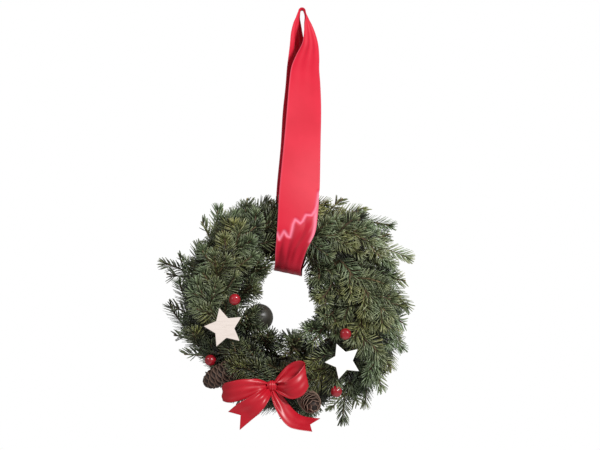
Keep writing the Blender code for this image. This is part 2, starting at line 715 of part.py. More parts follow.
def place_needles(number, name, twigs, fixed, rods, draw, collection):
    """Needles on each twig, bent aside or shortened where something else is in their way"""
    needles = []
    for points, first_share in twigs:
        for root, ahead, reference, turn, lean, size in needle_places(points, first_share, draw):
            start_side = (reference - ahead * reference.dot(ahead)).normalized()
            for aside, forward, shrink in ((0, 0, 1), (0.35, 0, 1), (-0.35, 0, 1), (0, -0.35, 1),
                                           (0.7, -0.2, 1), (-0.7, -0.2, 1), (0, 0.3, 0.8), (0, -0.3, 0.7)):
                outward = Matrix.Rotation(turn + aside, 3, ahead) @ start_side
                angle = lean + forward
                heading = (ahead * math.cos(angle) + outward * math.sin(angle)).normalized()
                end = root + heading * size * shrink
                own = rods.owner[:rods.count] == number
                room = rods.gaps(root, end, 0.45 * NEEDLE_WIDTH)
                foot = root + heading * 3.2 * MM
                crossing = rods.gaps(foot, end, 0.3 * NEEDLE_WIDTH)[own].min(initial=1.0)
                if room[~own].min(initial=1.0) < CLEARANCE or crossing < 0:
                    continue
                if fixed.clear_of(root, end, 0.5 * NEEDLE_WIDTH + CLEARANCE):
                    flat = ahead.cross(outward)
                    needles.append(needle(f"{name}_needle", root, heading, flat, size * shrink, collection))
                    rods.add(root, end, 0.45 * NEEDLE_WIDTH, number)
                    break
    return needles


def spray_list():
    rows = (("outer", OUTER_SPRAYS, ((0.50, 0.030), (0.66, 0.024))),
            ("front", FRONT_SPRAYS, ((0.45, 0.028), (0.62, 0.024))),
            ("inner", INNER_SPRAYS, ()))
    for row, sprays, shares in rows:
        for count, spray in enumerate(sprays, 1):
            yield f"{row}_spray_{count:02d}", spray, shares


def fir_sprays(fixed, collection):
    """All stems first, then the side shoots, then the needles, so that each has room"""
    rods = Rods(6000)
    draw = random.Random(24)
    sprays = list(spray_list())
    stems = [place_stem(number, spray, fixed, rods) for number, (_, spray, _) in enumerate(sprays)]
    shoots = [side_shoots(number, stems[number][0], frond_facing(turn_clock(*spray[:2]), spray[1]),
                          shares, fixed, rods)
              for number, (_, spray, shares) in enumerate(sprays)]
    for number, (name, spray, shares) in enumerate(sprays):
        points, radii = stems[number]
        body = tube(name, points, radii, "fir_green", collection)
        pieces = [tube(f"{name}_shoot", shoot, [SHOOT_RADIUS, END_RADIUS], "fir_green", collection)
                  for shoot in shoots[number]]
        bare = BUTT_LENGTH / sum((b - a).length for a, b in zip(points, points[1:]))
        twigs = [(points, bare)] + [(shoot, 0.12) for shoot in shoots[number]]
        pieces += place_needles(number, name, twigs, fixed, rods, draw, collection)
        fuse(body, pieces, collection)


def build():
    clear_scene()
    make_materials()
    wreath = new_collection("christmas_wreath")
    ring = straw_ring(wreath)
    fixed = [binding_wire(wreath), hanging_ribbon(wreath), bow(wreath)]
    for name, values in STARS.items():
        fixed.append(star(name, collection=wreath, **values))
        back = wreath_point(values["clock"], values["reach"] * MM,
                            values["forward"] * MM - STAR_THICKNESS - GAP)
        fixed.append(pick(name + "_pick", back, seat_on_ring(name, back), "wire_green", wreath))
    knot_back = KNOT_PLACE + Vector((0, 6.0 * MM + 2 * GAP, 0))
    fixed.append(pick("bow_tie_wire", knot_back, seat_on_ring("bow", knot_back), "wire_green", wreath))
    for name, place in BERRIES.items():
        fixed.append(berry(name, *place, wreath))
    fixed += ball(wreath)
    for name, values in CONES.items():
        fixed += cone(name, collection=wreath, **values)
    bpy.context.view_layer.update()
    fir_sprays(Fixed(ring, fixed), wreath)


build()
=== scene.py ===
"""Looks of the small christmas wreath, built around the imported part's fixed frame.

The fir sprays, ribbons and ornaments of the frame are replaced by finer pieces at the same
places. Each spray's main twig and first side twigs follow the same rule as the solid's.
"""
import itertools
import math
import random

import bmesh
import bpy
import numpy as np
from mathutils import Matrix, Vector
from mathutils.bvhtree import BVHTree


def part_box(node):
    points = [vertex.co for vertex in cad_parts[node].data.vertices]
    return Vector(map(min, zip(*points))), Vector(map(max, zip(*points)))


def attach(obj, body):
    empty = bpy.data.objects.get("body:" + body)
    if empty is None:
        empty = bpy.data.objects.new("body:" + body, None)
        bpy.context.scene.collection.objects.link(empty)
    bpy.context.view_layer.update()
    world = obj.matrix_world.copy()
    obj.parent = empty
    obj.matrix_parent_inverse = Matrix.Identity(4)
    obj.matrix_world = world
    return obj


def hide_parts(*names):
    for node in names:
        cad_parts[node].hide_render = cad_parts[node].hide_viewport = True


MM = 0.001
BODY = "root"

# Camera: the width that the photograph covers at the wreath, and a lens for its distance
VIEW_CENTRE = Vector((-0.0023, 0.0, -0.250))
VIEW_WIDTH = 0.696
LENS = 85.0
SENSOR = 36.0
SKY_LIGHT = 0.31

# The straw ring, its wire and the rule that places the twigs, as in the part
RING_CENTRE = Vector((-0.0165, 0.0, -0.342))
RING_RADIUS = 80 * MM
RING_TUBE = 20 * MM
WIRE_RADIUS = 0.5 * MM
WIRE_TURNS = 15
GAP = 0.3 * MM
STEM_RADIUS = 1.75 * MM
SHOOT_RADIUS = 1.5 * MM
END_RADIUS = 1.3 * MM
BUTT_LENGTH = 17 * MM
TIP_OVERHANG = 8 * MM
LEAVING_SHARE = 0.25
STEM_RIDE = RING_TUBE + 2 * GAP + STEM_RADIUS
WIRE_RIDE = STEM_RIDE + STEM_RADIUS + 1.5 * GAP + WIRE_RADIUS
CLEARANCE = 0.45 * MM

# Each spray: wire turn, row angle, tip's clock angle, its distance and its height, as in the part
OUTER_SPRAYS = [
    (14, 60, 20, 131, 20), (0, 60, 37, 143, 24), (0, 110, 52, 157, 6), (1, 60, 68, 156, 16),
    (2, 60, 90, 144, 24), (3, 60, 110, 146, 16), (3, 110, 120, 146, -2),
    (4, 60, 131, 149, 14), (4, 110, 141.5, 152, 2), (5, 60, 154, 153, 12), (6, 60, 178, 136, 10),
    (6, 110, 194, 132, 2), (7, 60, 212, 121, 8), (8, 110, 238, 121, 0), (9, 60, 254, 129, 18),
    (9, 110, 268.5, 143, 6), (10, 60, 281, 134, 20), (11, 110, 288.5, 157, 6), (11, 60, 303, 130, 22),
    (12, 60, 323.5, 143, 16), (12, 110, 335, 133, 2), (13, 60, 348, 128, 14),
]
FRONT_SPRAYS = [
    (13, 0, 356, 117, 38), (0, 0, 45, 126, 44), (2, 0, 95, 116, 46), (3, 0, 119, 99, 46),
    (5, 0, 162, 96, 34), (7, 0, 208, 92, 32), (8, 0, 235, 84, 34), (10, 0, 284, 106, 40),
    (11, 0, 305, 100, 48), (12, 0, 330, 104, 46),
]
INNER_SPRAYS = [
    (1, -60, 50, 46, 28), (2, -60, 78, 38, 34), (3, -60, 108, 45, 40), (4, -60, 140, 36, 34),
    (6, -60, 176, 42, 46), (8, -60, 212, 43, 32), (9, -60, 256, 48, 40), (11, -60, 300, 45, 30),
    (12, -60, 332, 50, 32),
]
ROWS = {
    "outer": dict(sprays=OUTER_SPRAYS, shoots=((0.50, 0.030), (0.66, 0.024)), extra=38, step=15, under=8.5),
    "front": dict(sprays=FRONT_SPRAYS, shoots=((0.45, 0.028), (0.62, 0.024)), extra=42, step=14, under=8.5),
    "inner": dict(sprays=INNER_SPRAYS, shoots=(), extra=32, step=9, under=7),
}

# Side twigs over a spray and under it, with swing from the stem and lift, each in turn as tried
OVER_LEANS = ((44, 0.15), (36, 0.35), (52, 0.30), (30, 0.60))
UNDER_LEANS = ((48, -0.45), (38, -0.25), (56, -0.60), (30, -0.10))
# Needles on the twigs over a spray are painted lighter and those under it darker: painted light and painted
# shade
OVER_PAINTED_LIGHT = 0.05
UNDER_PAINTED_SHADE = -0.24

# Side twigs at the hole and over the ball: share along the stem, then clock angle, reach and height
REACHING = {
    "inner_spray_02": ((0.85, 74, 37, 30),),
    "inner_spray_04": ((0.80, 130, 36, 34), (0.90, 152, 36, 34)),
    "inner_spray_05": ((0.88, 166, 38, 42), (0.70, 186, 46, 36)),
    "inner_spray_06": ((0.25, 194, 48, 28), (0.88, 216, 38, 36)),
    "inner_spray_07": ((0.55, 229, 43, 34), (0.70, 240, 42, 37), (0.85, 252, 46, 39), (0.45, 264, 59, 24)),
    "inner_spray_09": ((0.75, 340, 55, 26),),
}

# How far out the foliage stands between its tips, and how near the hole's middle: clock angle, mm;
# then how far behind the ring's middle it may grow, before it would touch a wall
RIM_KEYS = ((0, 124), (20, 127), (30, 127), (38, 137), (50, 146), (60, 141), (70, 135), (80, 132), (90, 136),
            (110, 135), (130, 140), (150, 137), (160, 126), (170, 138), (180, 129), (190, 128),
            (200, 127), (210, 132), (220, 129), (231, 114), (240, 118), (250, 124), (262, 125),
            (272, 122), (285, 126), (295, 128), (310, 121), (322, 134), (340, 127), (350, 120), (360, 124))
HOLE_KEYS = ((0, 40), (30, 35), (70, 25), (95, 25), (108, 33), (140, 22), (160, 23), (180, 27),
             (220, 25), (250, 22), (275, 25), (300, 32), (330, 42), (360, 40))
NEEDLE_ROOM = 2 * MM
TWIG_ROOM = 8 * MM
BACK_LIMIT = 33 * MM

# Painted light and shade on the sprays round the wreath, brightest at the right and darker at the bottom and
# left: clock angle, tone
PAINTED_LIGHT_KEYS = ((0, 0.53), (60, 0.59), (105, 0.61), (135, 0.55), (165, 0.40), (200, 0.33), (250, 0.36),
              (290, 0.46), (325, 0.53), (360, 0.53))

# Needles and twigs as they show close by
NEEDLE_LENGTH = 13.5 * MM
NEEDLE_WIDTH = 1.60 * MM
NEEDLE_THICKNESS = 0.6 * MM
NEEDLE_STEP = 0.88 * MM
NEEDLE_RINGS = ((0.0, 0.5, 0.8), (0.45, 1.0, 1.0), (1.0, 0.5, 0.5))
TWIG_THIN = 0.85 * MM
BUD_RADIUS = 1.3 * MM
TIP_NEEDLES = 9

# Ribbons: widths they were cut to, and the cloth's thickness
BROAD_RIBBON = 50.0
BOW_RIBBON = 25.0
CLOTH_THICKNESS = 0.35 * MM
DEEPEST_FOLD = 2.2
LOOP_INNER_RADIUS = 2.7

# The front layer's crease and the band beside its right edge: share of the width, mm from the top
CREASE = ((0.0, 258), (0.09, 266), (0.19, 257), (0.30, 262.5), (0.37, 263.5), (0.40, 249), (0.445, 243.5),
          (0.58, 248), (0.635, 245.5), (0.70, 238.5), (0.85, 239), (0.92, 233), (0.975, 225), (1.0, 212))
EDGE_BAND = ((0.985, 214), (0.945, 233), (0.945, 243), (0.955, 256), (0.985, 268))
CREASE_SPAN = 40.0

# Ornaments, placed as in the part
STAR_THICKNESS = 4.5 * MM
STAR_INNER_SHARE = 0.51
STARS = {
    "star_left": dict(clock=251.7, reach=75, forward=52, radius=22.7, turn=13.8),
    "star_right": dict(clock=134.2, reach=87.6, forward=52, radius=20.9, turn=21.5),
}
BERRY_RADIUS = 6.5 * MM
BERRIES = {
    "berry_upper_left": (277.6, 60.0, 44),
    "berry_lower_left": (234.7, 108.0, 27),
    "berry_upper_right": (115.1, 72.2, 50),
    "berry_lower_right": (150.2, 111.3, 38),
}
BALL_RADIUS = 15.8 * MM
BALL_PLACE = (246.0, 35.5, 14)
CONES = {
    "cone_left": dict(base=(220.5, 91, 33), tip=(226.6, 130, 26), radius=12.0),
    "cone_right": dict(base=(169.0, 104, 24), tip=(165.0, 117.5, 52), radius=11.5),
}
SCALE_ROWS = 11
SCALES_AROUND = 6
KNOT_PLACE = Vector((-33.8, -51.0, -431.0)) * MM


def wreath_point(clock, reach, forward):
    angle = math.radians(clock)
    return RING_CENTRE + Vector((reach * math.sin(angle), -forward, reach * math.cos(angle)))


def tube_point(clock, row, ride):
    angle = math.radians(row)
    return wreath_point(clock, RING_RADIUS + ride * math.sin(angle), ride * math.cos(angle))


def tube_normal(clock, row):
    return (tube_point(clock, row, 1.0) - tube_point(clock, row, 0.0)).normalized()


def frond_facing(clock, row):
    """The way a spray's flat side faces: off the ring, and more towards the front"""
    return (tube_normal(clock, row) + Vector((0, -1.5, 0))).normalized()


def clockwise(clock):
    angle = math.radians(clock)
    return Vector((math.cos(angle), 0.0, -math.sin(angle)))


def turn_clock(turn, row):
    return (turn + row / 360) * 360 / WIRE_TURNS


def bezier(first, second, third, share):
    return first.lerp(second, share).lerp(second.lerp(third, share), share)


def smooth_route(keys, step_count):
    """Points along a Catmull-Rom curve through the keys, which are plain tuples"""
    keys = [np.array(key, float) for key in keys]
    route = []
    for index in range(len(keys) - 1):
        before = keys[max(index - 1, 0)]
        first, second = keys[index], keys[index + 1]
        after = keys[min(index + 2, len(keys) - 1)]
        for step in range(step_count):
            t = step / step_count
            route.append(0.5 * (2 * first + (second - before) * t
                                + (2 * before - 5 * first + 4 * second - after) * t ** 2
                                + (3 * first - before - 3 * second + after) * t ** 3))
    route.append(keys[-1])
    return route


# Materials

def new_material(name):
    material = bpy.data.materials.new(name)
    material.use_nodes = True
    return material, material.node_tree.nodes, material.node_tree.links


def set_shader(nodes, **values):
    shader = nodes["Principled BSDF"]
    for key, value in values.items():
        shader.inputs[key.replace("_", " ")].default_value = value
    return shader


def ramp(nodes, stops):
    node = nodes.new("ShaderNodeValToRGB")
    elements = node.color_ramp.elements
    elements[0].position, elements[0].color = stops[0][0], (*stops[0][1], 1)
    elements[1].position, elements[1].color = stops[-1][0], (*stops[-1][1], 1)
    for position, colour in stops[1:-1]:
        elements.new(position).color = (*colour, 1)
    return node


def noise(nodes, links, scale, detail=4.0, coordinates=None, stretch=None):
    node = nodes.new("ShaderNodeTexNoise")
    node.inputs["Scale"].default_value = scale
    node.inputs["Detail"].default_value = detail
    if coordinates is None:
        coordinates = nodes.new("ShaderNodeTexCoord").outputs["Object"]
    if stretch:
        mapping = nodes.new("ShaderNodeMapping")
        mapping.inputs["Scale"].default_value = stretch
        links.new(coordinates, mapping.inputs["Vector"])
        coordinates = mapping.outputs["Vector"]
    links.new(coordinates, node.inputs["Vector"])
    return node


def bump(nodes, links, height, strength, distance):
    node = nodes.new("ShaderNodeBump")
    node.inputs["Strength"].default_value = strength
    node.inputs["Distance"].default_value = distance
    links.new(height, node.inputs["Height"])
    links.new(node.outputs["Normal"], nodes["Principled BSDF"].inputs["Normal"])


def added(nodes, links, first, second, share):
    """first plus share times second, taken about second's middle"""
    node = nodes.new("ShaderNodeMath")
    node.operation = "MULTIPLY_ADD"
    links.new(second, node.inputs[0])
    node.inputs[1].default_value = share
    shift = nodes.new("ShaderNodeMath")
    shift.operation = "SUBTRACT"
    links.new(first, shift.inputs[0])
    shift.inputs[1].default_value = share / 2
    links.new(shift.outputs[0], node.inputs[2])
    return node.outputs[0]


def needle_material():
    material, nodes, links = new_material("fir_needles")
    shader = set_shader(nodes, Roughness=0.38, Specular_IOR_Level=0.7)
    tone = nodes.new("ShaderNodeAttribute")
    tone.attribute_name = "tone"
    fine = noise(nodes, links, 260.0, 2.0)
    mixed = added(nodes, links, tone.outputs["Fac"], fine.outputs["Fac"], 0.22)
    colours = ramp(nodes, [
        (0.00, (0.005, 0.005, 0.003)), (0.25, (0.022, 0.024, 0.012)), (0.42, (0.066, 0.079, 0.036)),
        (0.58, (0.145, 0.172, 0.082)), (0.78, (0.300, 0.335, 0.190)), (1.00, (0.560, 0.580, 0.420))])
    links.new(mixed, colours.inputs["Fac"])
    patches = noise(nodes, links, 26.0, 2.0)
    tints = ramp(nodes, [(0.36, (0.86, 1.0, 0.98)), (0.52, (1.0, 1.0, 0.92)), (0.66, (1.14, 1.02, 0.60))])
    links.new(patches.outputs["Fac"], tints.inputs["Fac"])
    tinted = nodes.new("ShaderNodeMix")
    tinted.data_type = "RGBA"
    tinted.blend_type = "MULTIPLY"
    tinted.inputs["Factor"].default_value = 1.0
    links.new(colours.outputs["Color"], tinted.inputs["A"])
    links.new(tints.outputs["Color"], tinted.inputs["B"])
    links.new(tinted.outputs["Result"], shader.inputs["Base Color"])
    return material


def bark_material():
    material, nodes, links = new_material("fir_bark")
    shader = set_shader(nodes, Roughness=0.8)
    grain = noise(nodes, links, 420.0, 5.0)
    tone = nodes.new("ShaderNodeAttribute")
    tone.attribute_name = "tone"
    mixed = added(nodes, links, tone.outputs["Fac"], grain.outputs["Fac"], 0.5)
    colours = ramp(nodes, [(0.0, (0.020, 0.012, 0.007)), (0.45, (0.085, 0.050, 0.026)),
                           (0.75, (0.210, 0.150, 0.070)), (1.0, (0.330, 0.300, 0.120))])
    links.new(mixed, colours.inputs["Fac"])
    links.new(colours.outputs["Color"], shader.inputs["Base Color"])
    bump(nodes, links, grain.outputs["Fac"], 0.5, 0.4 * MM)
    return material


def satin_material(name, dark, bright, roughness, gloss):
    material, nodes, links = new_material(name)
    shader = set_shader(nodes, Roughness=roughness, Specular_IOR_Level=gloss, Sheen_Weight=0.03,
                        Sheen_Roughness=0.35, Anisotropic=0.3)
    shader.inputs["Sheen Tint"].default_value = (1.0, 0.42, 0.48, 1)
    place = nodes.new("ShaderNodeUVMap")
    place.uv_map = "ribbon"
    weave = noise(nodes, links, 1.0, 2.0, place.outputs["UV"], (900.0, 5200.0, 1.0))
    shade = noise(nodes, links, 28.0, 3.0)
    colours = ramp(nodes, [(0.25, dark), (0.75, bright)])
    mixed = added(nodes, links, shade.outputs["Fac"], weave.outputs["Fac"], 0.35)
    links.new(mixed, colours.inputs["Fac"])
    colour = colours.outputs["Color"]
    # Painted shade in dark red and painted highlight in pale pink, laid in by the ribbon's marks
    for title, tint in (("satin_painted_shade", (0.13, 0.002, 0.008)), ("pale", (0.86, 0.22, 0.32))):
        mark = nodes.new("ShaderNodeAttribute")
        mark.attribute_name = title
        marked = nodes.new("ShaderNodeMix")
        marked.data_type = "RGBA"
        links.new(mark.outputs["Fac"], marked.inputs["Factor"])
        links.new(colour, marked.inputs["A"])
        marked.inputs["B"].default_value = (*tint, 1)
        colour = marked.outputs["Result"]
    links.new(colour, shader.inputs["Base Color"])
    bump(nodes, links, weave.outputs["Fac"], 0.12, 0.08 * MM)
    return material


def wood_material(name, dark, pale):
    material, nodes, links = new_material(name)
    shader = set_shader(nodes, Roughness=0.62, Specular_IOR_Level=0.3)
    grain = noise(nodes, links, 60.0, 6.0, stretch=(0.9, 1.0, 9.0))
    fine = noise(nodes, links, 600.0, 3.0, stretch=(0.3, 1.0, 3.0))
    mixed = added(nodes, links, grain.outputs["Fac"], fine.outputs["Fac"], 0.3)
    colours = ramp(nodes, [(0.30, dark), (0.48, pale), (1.0, tuple(min(1.0, c * 1.04) for c in pale))])
    links.new(mixed, colours.inputs["Fac"])
    links.new(colours.outputs["Color"], shader.inputs["Base Color"])
    bump(nodes, links, mixed, 0.25, 0.25 * MM)
    return material


def berry_material():
    material, nodes, links = new_material("berry_lacquer")
    shader = set_shader(nodes, Roughness=0.34, Coat_Weight=0.5, Coat_Roughness=0.08)
    mottle = noise(nodes, links, 120.0, 3.0)
    colours = ramp(nodes, [(0.3, (0.260, 0.003, 0.010)), (0.7, (0.440, 0.006, 0.020))])
    links.new(mottle.outputs["Fac"], colours.inputs["Fac"])
    links.new(colours.outputs["Color"], shader.inputs["Base Color"])
    fine = noise(nodes, links, 900.0, 2.0)
    bump(nodes, links, fine.outputs["Fac"], 0.06, 0.1 * MM)
    return material


def ball_material():
    material, nodes, links = new_material("ball_lacquer")
    shader = set_shader(nodes, Roughness=0.42, Specular_IOR_Level=0.6)
    mottle = noise(nodes, links, 90.0, 4.0)
    colours = ramp(nodes, [(0.3, (0.026, 0.023, 0.017)), (0.7, (0.052, 0.047, 0.037))])
    links.new(mottle.outputs["Fac"], colours.inputs["Fac"])
    links.new(colours.outputs["Color"], shader.inputs["Base Color"])
    fine = noise(nodes, links, 1400.0, 2.0)
    bump(nodes, links, fine.outputs["Fac"], 0.15, 0.1 * MM)
    return material


def cone_material():
    material, nodes, links = new_material("cone_scales")
    shader = set_shader(nodes, Roughness=0.6, Specular_IOR_Level=0.4)
    tone = nodes.new("ShaderNodeAttribute")
    tone.attribute_name = "tone"
    grain = noise(nodes, links, 380.0, 4.0)
    mixed = added(nodes, links, tone.outputs["Fac"], grain.outputs["Fac"], 0.3)
    colours = ramp(nodes, [(0.0, (0.006, 0.003, 0.002)), (0.4, (0.024, 0.011, 0.007)),
                           (0.75, (0.105, 0.058, 0.040)), (1.0, (0.310, 0.205, 0.155))])
    links.new(mixed, colours.inputs["Fac"])
    links.new(colours.outputs["Color"], shader.inputs["Base Color"])
    bump(nodes, links, grain.outputs["Fac"], 0.4, 0.3 * MM)
    return material


def straw_material():
    material, nodes, links = new_material("dry_straw_painted_shade")
    shader = set_shader(nodes, Roughness=0.55)
    tone = nodes.new("ShaderNodeAttribute")
    tone.attribute_name = "tone"
    grain = noise(nodes, links, 240.0, 4.0)
    mixed = added(nodes, links, tone.outputs["Fac"], grain.outputs["Fac"], 0.4)
    # Colours darker than dry straw's own: painted shade from the foliage over the ring
    colours = ramp(nodes, [(0.0, (0.045, 0.028, 0.012)), (0.5, (0.165, 0.110, 0.048)),
                           (1.0, (0.360, 0.270, 0.130))])
    links.new(mixed, colours.inputs["Fac"])
    links.new(colours.outputs["Color"], shader.inputs["Base Color"])
    bump(nodes, links, grain.outputs["Fac"], 0.3, 0.3 * MM)
    return material


def wire_material():
    material, nodes, links = new_material("green_wire")
    shader = set_shader(nodes, Roughness=0.4, Metallic=0.3)
    mottle = noise(nodes, links, 500.0, 3.0)
    colours = ramp(nodes, [(0.3, (0.020, 0.045, 0.020)), (0.8, (0.050, 0.085, 0.040))])
    links.new(mottle.outputs["Fac"], colours.inputs["Fac"])
    links.new(colours.outputs["Color"], shader.inputs["Base Color"])
    return material


# Mesh helpers

class Builder:
    """Collects vertices, faces, a tone for each vertex and a material index for each face"""

    def __init__(self):
        self.places = []
        self.faces = []
        self.tones = []
        self.looks = []
        self.count = 0

    def add(self, places, faces, tones, look=0):
        self.places.append(np.asarray(places, float).reshape(-1, 3))
        self.faces.extend((np.asarray(faces) + self.count).tolist())
        self.tones.append(np.broadcast_to(tones, len(self.places[-1])).astype(float))
        self.looks.extend([look] * len(faces))
        self.count += len(self.places[-1])

    def mesh(self, name, materials, smooth=True):
        mesh = bpy.data.meshes.new(name)
        mesh.from_pydata(np.concatenate(self.places).tolist(), [], self.faces)
        for material in materials:
            mesh.materials.append(material)
        mesh.polygons.foreach_set("material_index", self.looks)
        mesh.polygons.foreach_set("use_smooth", [smooth] * len(self.faces))
        tone = mesh.attributes.new("tone", "FLOAT", "POINT")
        tone.data.foreach_set("value", np.concatenate(self.tones))
        mesh.update()
        return mesh


def add_piece(name, mesh, slot, *nodes):
    """A finished piece that rides on the frame and stands for the nodes named"""
    item = bpy.data.objects.new(name, mesh)
    bpy.context.scene.collection.objects.link(item)
    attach(item, BODY)
    if nodes:
        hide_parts(*nodes)
    return item


def unit(vectors):
    vectors = np.asarray(vectors, float)
    return vectors / np.maximum(np.linalg.norm(vectors, axis=-1, keepdims=True), 1e-12)


def add_rod(builder, points, radii, sides, tone, look=0):
    """A round rod along the points, its frame carried along without twist, its ends closed"""
    points = np.asarray([tuple(point) for point in points], float)
    runs = unit(np.gradient(points, axis=0))
    side = unit(np.cross(runs[0], (0.31, 0.57, 0.76)))
    angles = np.arange(sides) * 2 * math.pi / sides
    rings = []
    for place, run, radius in zip(points, runs, radii):
        side = unit(side - run * (side @ run))
        other = np.cross(run, side)
        rings.append(place + radius * (np.outer(np.cos(angles), side) + np.outer(np.sin(angles), other)))
    count = len(points)
    faces = [(row * sides + step, row * sides + (step + 1) % sides,
              (row + 1) * sides + (step + 1) % sides, (row + 1) * sides + step)
             for row in range(count - 1) for step in range(sides)]
    builder.add(np.concatenate(rings), faces, tone, look)
    last = (count - 1) * sides + np.arange(sides)
    builder.faces.append((last + builder.count - count * sides).tolist())
    builder.faces.append((np.arange(sides)[::-1] + builder.count - count * sides).tolist())
    builder.looks += [look, look]


def add_needles(builder, roots, headings, bends, flats, lengths, widths, tones, look=0):
    """Flat blunt needles that curve towards their bends, paler underneath, and darker towards their roots as
    painted shade
    """
    rings = []
    shades = []
    for share, width, thick in NEEDLE_RINGS:
        reach = lengths[:, None] * share
        place = roots + headings * reach + bends * reach * share
        run = unit(headings + 2 * bends * share)
        up = unit(np.cross(flats, run))
        across = flats * (widths * width / 2)[:, None]
        rise = up * (NEEDLE_THICKNESS * thick / 2)
        rings.append(np.stack([place - across, place + rise, place + across, place - rise], axis=1))
        # Darker at the root and lighter towards the tip: painted shade among the needles. The paler
        # underside is the needles' own colour
        root_shaded_tone = tones - 0.18 + 0.26 * share
        shades.append(np.stack([root_shaded_tone, root_shaded_tone + 0.03, root_shaded_tone, root_shaded_tone + 0.30], axis=1))
    places = np.stack(rings, axis=1)
    count, ring_count = places.shape[0], places.shape[1]
    faces = []
    for ring in range(ring_count - 1):
        for step in range(4):
            low, high = ring * 4, ring * 4 + 4
            faces.append((low + step, low + (step + 1) % 4, high + (step + 1) % 4, high + step))
    faces.append(tuple((ring_count - 1) * 4 + step for step in range(4)))
    faces = np.array(faces)
    offsets = np.arange(count)[:, None, None] * ring_count * 4
    builder.add(places.reshape(-1, 3), (faces[None] + offsets).reshape(-1, 4),
                np.stack(shades, axis=1).reshape(-1), look)


# Where the twigs run, by the part's own rule

class Fixed:
    """The solids that twigs and needles are kept clear of: the straw ring, and all the rest"""

    def __init__(self, ring, others):
        self.ring = self.surfaces([ring])
        self.others = self.surfaces(others)

    def surfaces(self, items):
        vertices = []
        faces = []
        for item in items:
            first = len(vertices)
            vertices += [vertex.co.copy() for vertex in item.data.vertices]
            faces += [[first + index for index in face.vertices] for face in item.data.polygons]
        return BVHTree.FromPolygons(vertices, faces)

    def clear_of(self, start, end, margin, off_ring=0.0):
        steps = max(2, math.ceil((end - start).length / (1.2 * MM)))
        for step in range(steps + 1):
            place = start.lerp(end, step / steps)
            if self.others.find_nearest(place, margin)[0] is not None:
                return False
            if step >= off_ring * steps and self.ring.find_nearest(place, margin)[0] is not None:
                return False
        return True

    def lets_past(self, start, end):
        """True where nothing but twigs lies between the two places"""
        run = end - start
        length = run.length
        if self.others.ray_cast(start, run, length + 0.6 * MM)[0] is not None:
            return False
        return self.ring.ray_cast(start, run, length)[0] is None


class Rods:
    """Every main twig and first side twig, each with its radius and its spray"""

    def __init__(self, room):
        self.start = np.zeros((room, 3))
        self.end = np.zeros((room, 3))
        self.radius = np.zeros(room)
        self.owner = np.zeros(room, int)
        self.count = 0

    def add(self, start, end, radius, owner):
        self.start[self.count] = start
        self.end[self.count] = end
        self.radius[self.count] = radius
        self.owner[self.count] = owner
        self.count += 1

    def gaps(self, start, end, radius):
        start, end = np.array(start), np.array(end)
        starts = self.start[:self.count]
        along = end - start
        runs = self.end[:self.count] - starts
        back = start - starts
        a = along @ along
        e = (runs * runs).sum(axis=1)
        b = runs @ along
        c = back @ along
        f = (runs * back).sum(axis=1)
        cross = a * e - b * b
        s = np.clip((b * f - c * e) / np.where(cross > 1e-18, cross, 1.0), 0, 1)
        t = np.clip((b * s + f) / e, 0, 1)
        s = np.clip((b * t - c) / a, 0, 1)
        apart = (start + s[:, None] * along) - (starts + t[:, None] * runs)
        return np.linalg.norm(apart, axis=1) - self.radius[:self.count] - radius


def stem_routes(turn, row, tip_clock, tip_reach, tip_forward):
    """Routes that a main twig may take, and for each the bezier's three points"""
    clock = turn_clock(turn, row)
    spread = math.degrees(BUTT_LENGTH / 2 / (RING_RADIUS + RING_TUBE * math.sin(math.radians(row))))
    shares = (-1, 0, 1) if row < 0 else (-1, 1)
    butt = [tube_point(clock + share * spread, row, STEM_RIDE) for share in shares]
    overhang = TIP_OVERHANG if row > 0 else 0.0
    tip = wreath_point(tip_clock, tip_reach * MM - overhang, tip_forward * MM)
    leave = butt[-1]
    span = (tip - leave).length
    ahead = clockwise(clock + spread)
    away = tube_normal(clock, row)
    for lift, sway, bow_out in itertools.product(
            (0, -4, 4, -8, 8), (0.0, 0.08, -0.08, 0.16, -0.16), (0.14, 0.20, 0.27, 0.35, 0.08, 0.44)):
        side = ahead.cross(away) * sway * span
        lead = leave + ahead * 0.46 * span + away * bow_out * span + side
        end = tip + Vector((0, -lift * MM, 0))
        yield butt, [bezier(leave, lead, end, share) for share in (0.33, 0.68, 1.0)], (leave, lead, end)


def place_stem(number, spray, fixed, rods):
    """The coarse route of a main twig, and the fine one that passes through the same points"""
    choice = None
    for butt, free, bend in stem_routes(*spray):
        points = butt + free
        radii = [STEM_RADIUS + (END_RADIUS - STEM_RADIUS) * index / (len(points) - 1)
                 for index in range(len(points))]
        worst = min((rods.gaps(points[index], points[index + 1], radii[index]).min(initial=1.0)
                     for index in range(len(points) - 1)))
        for index in range(len(butt), len(points)):
            margin = radii[index] + CLEARANCE
            on_ring = LEAVING_SHARE if index == len(butt) else 0.0
            if not fixed.clear_of(points[index - 1], points[index], margin, on_ring):
                worst = min(worst, -STEM_RADIUS)
        if choice is None or worst > choice[0]:
            choice = (worst, points, radii, butt, bend)
        if worst > CLEARANCE:
            break
    _, points, radii, butt, bend = choice
    for index in range(len(points) - 1):
        rods.add(points[index], points[index + 1], radii[index], number)
    fine = butt[:-1] + [bezier(*bend, step / 12) for step in range(13)]
    return points, fine


def polyline(points, share):
    lengths = [(after - before).length for before, after in zip(points, points[1:])]
    left = share * sum(lengths)
    for index, length in enumerate(lengths):
        if left <= length or index == len(lengths) - 1:
            ahead = (points[index + 1] - points[index]).normalized()
            return points[index] + ahead * left, ahead
        left -= length


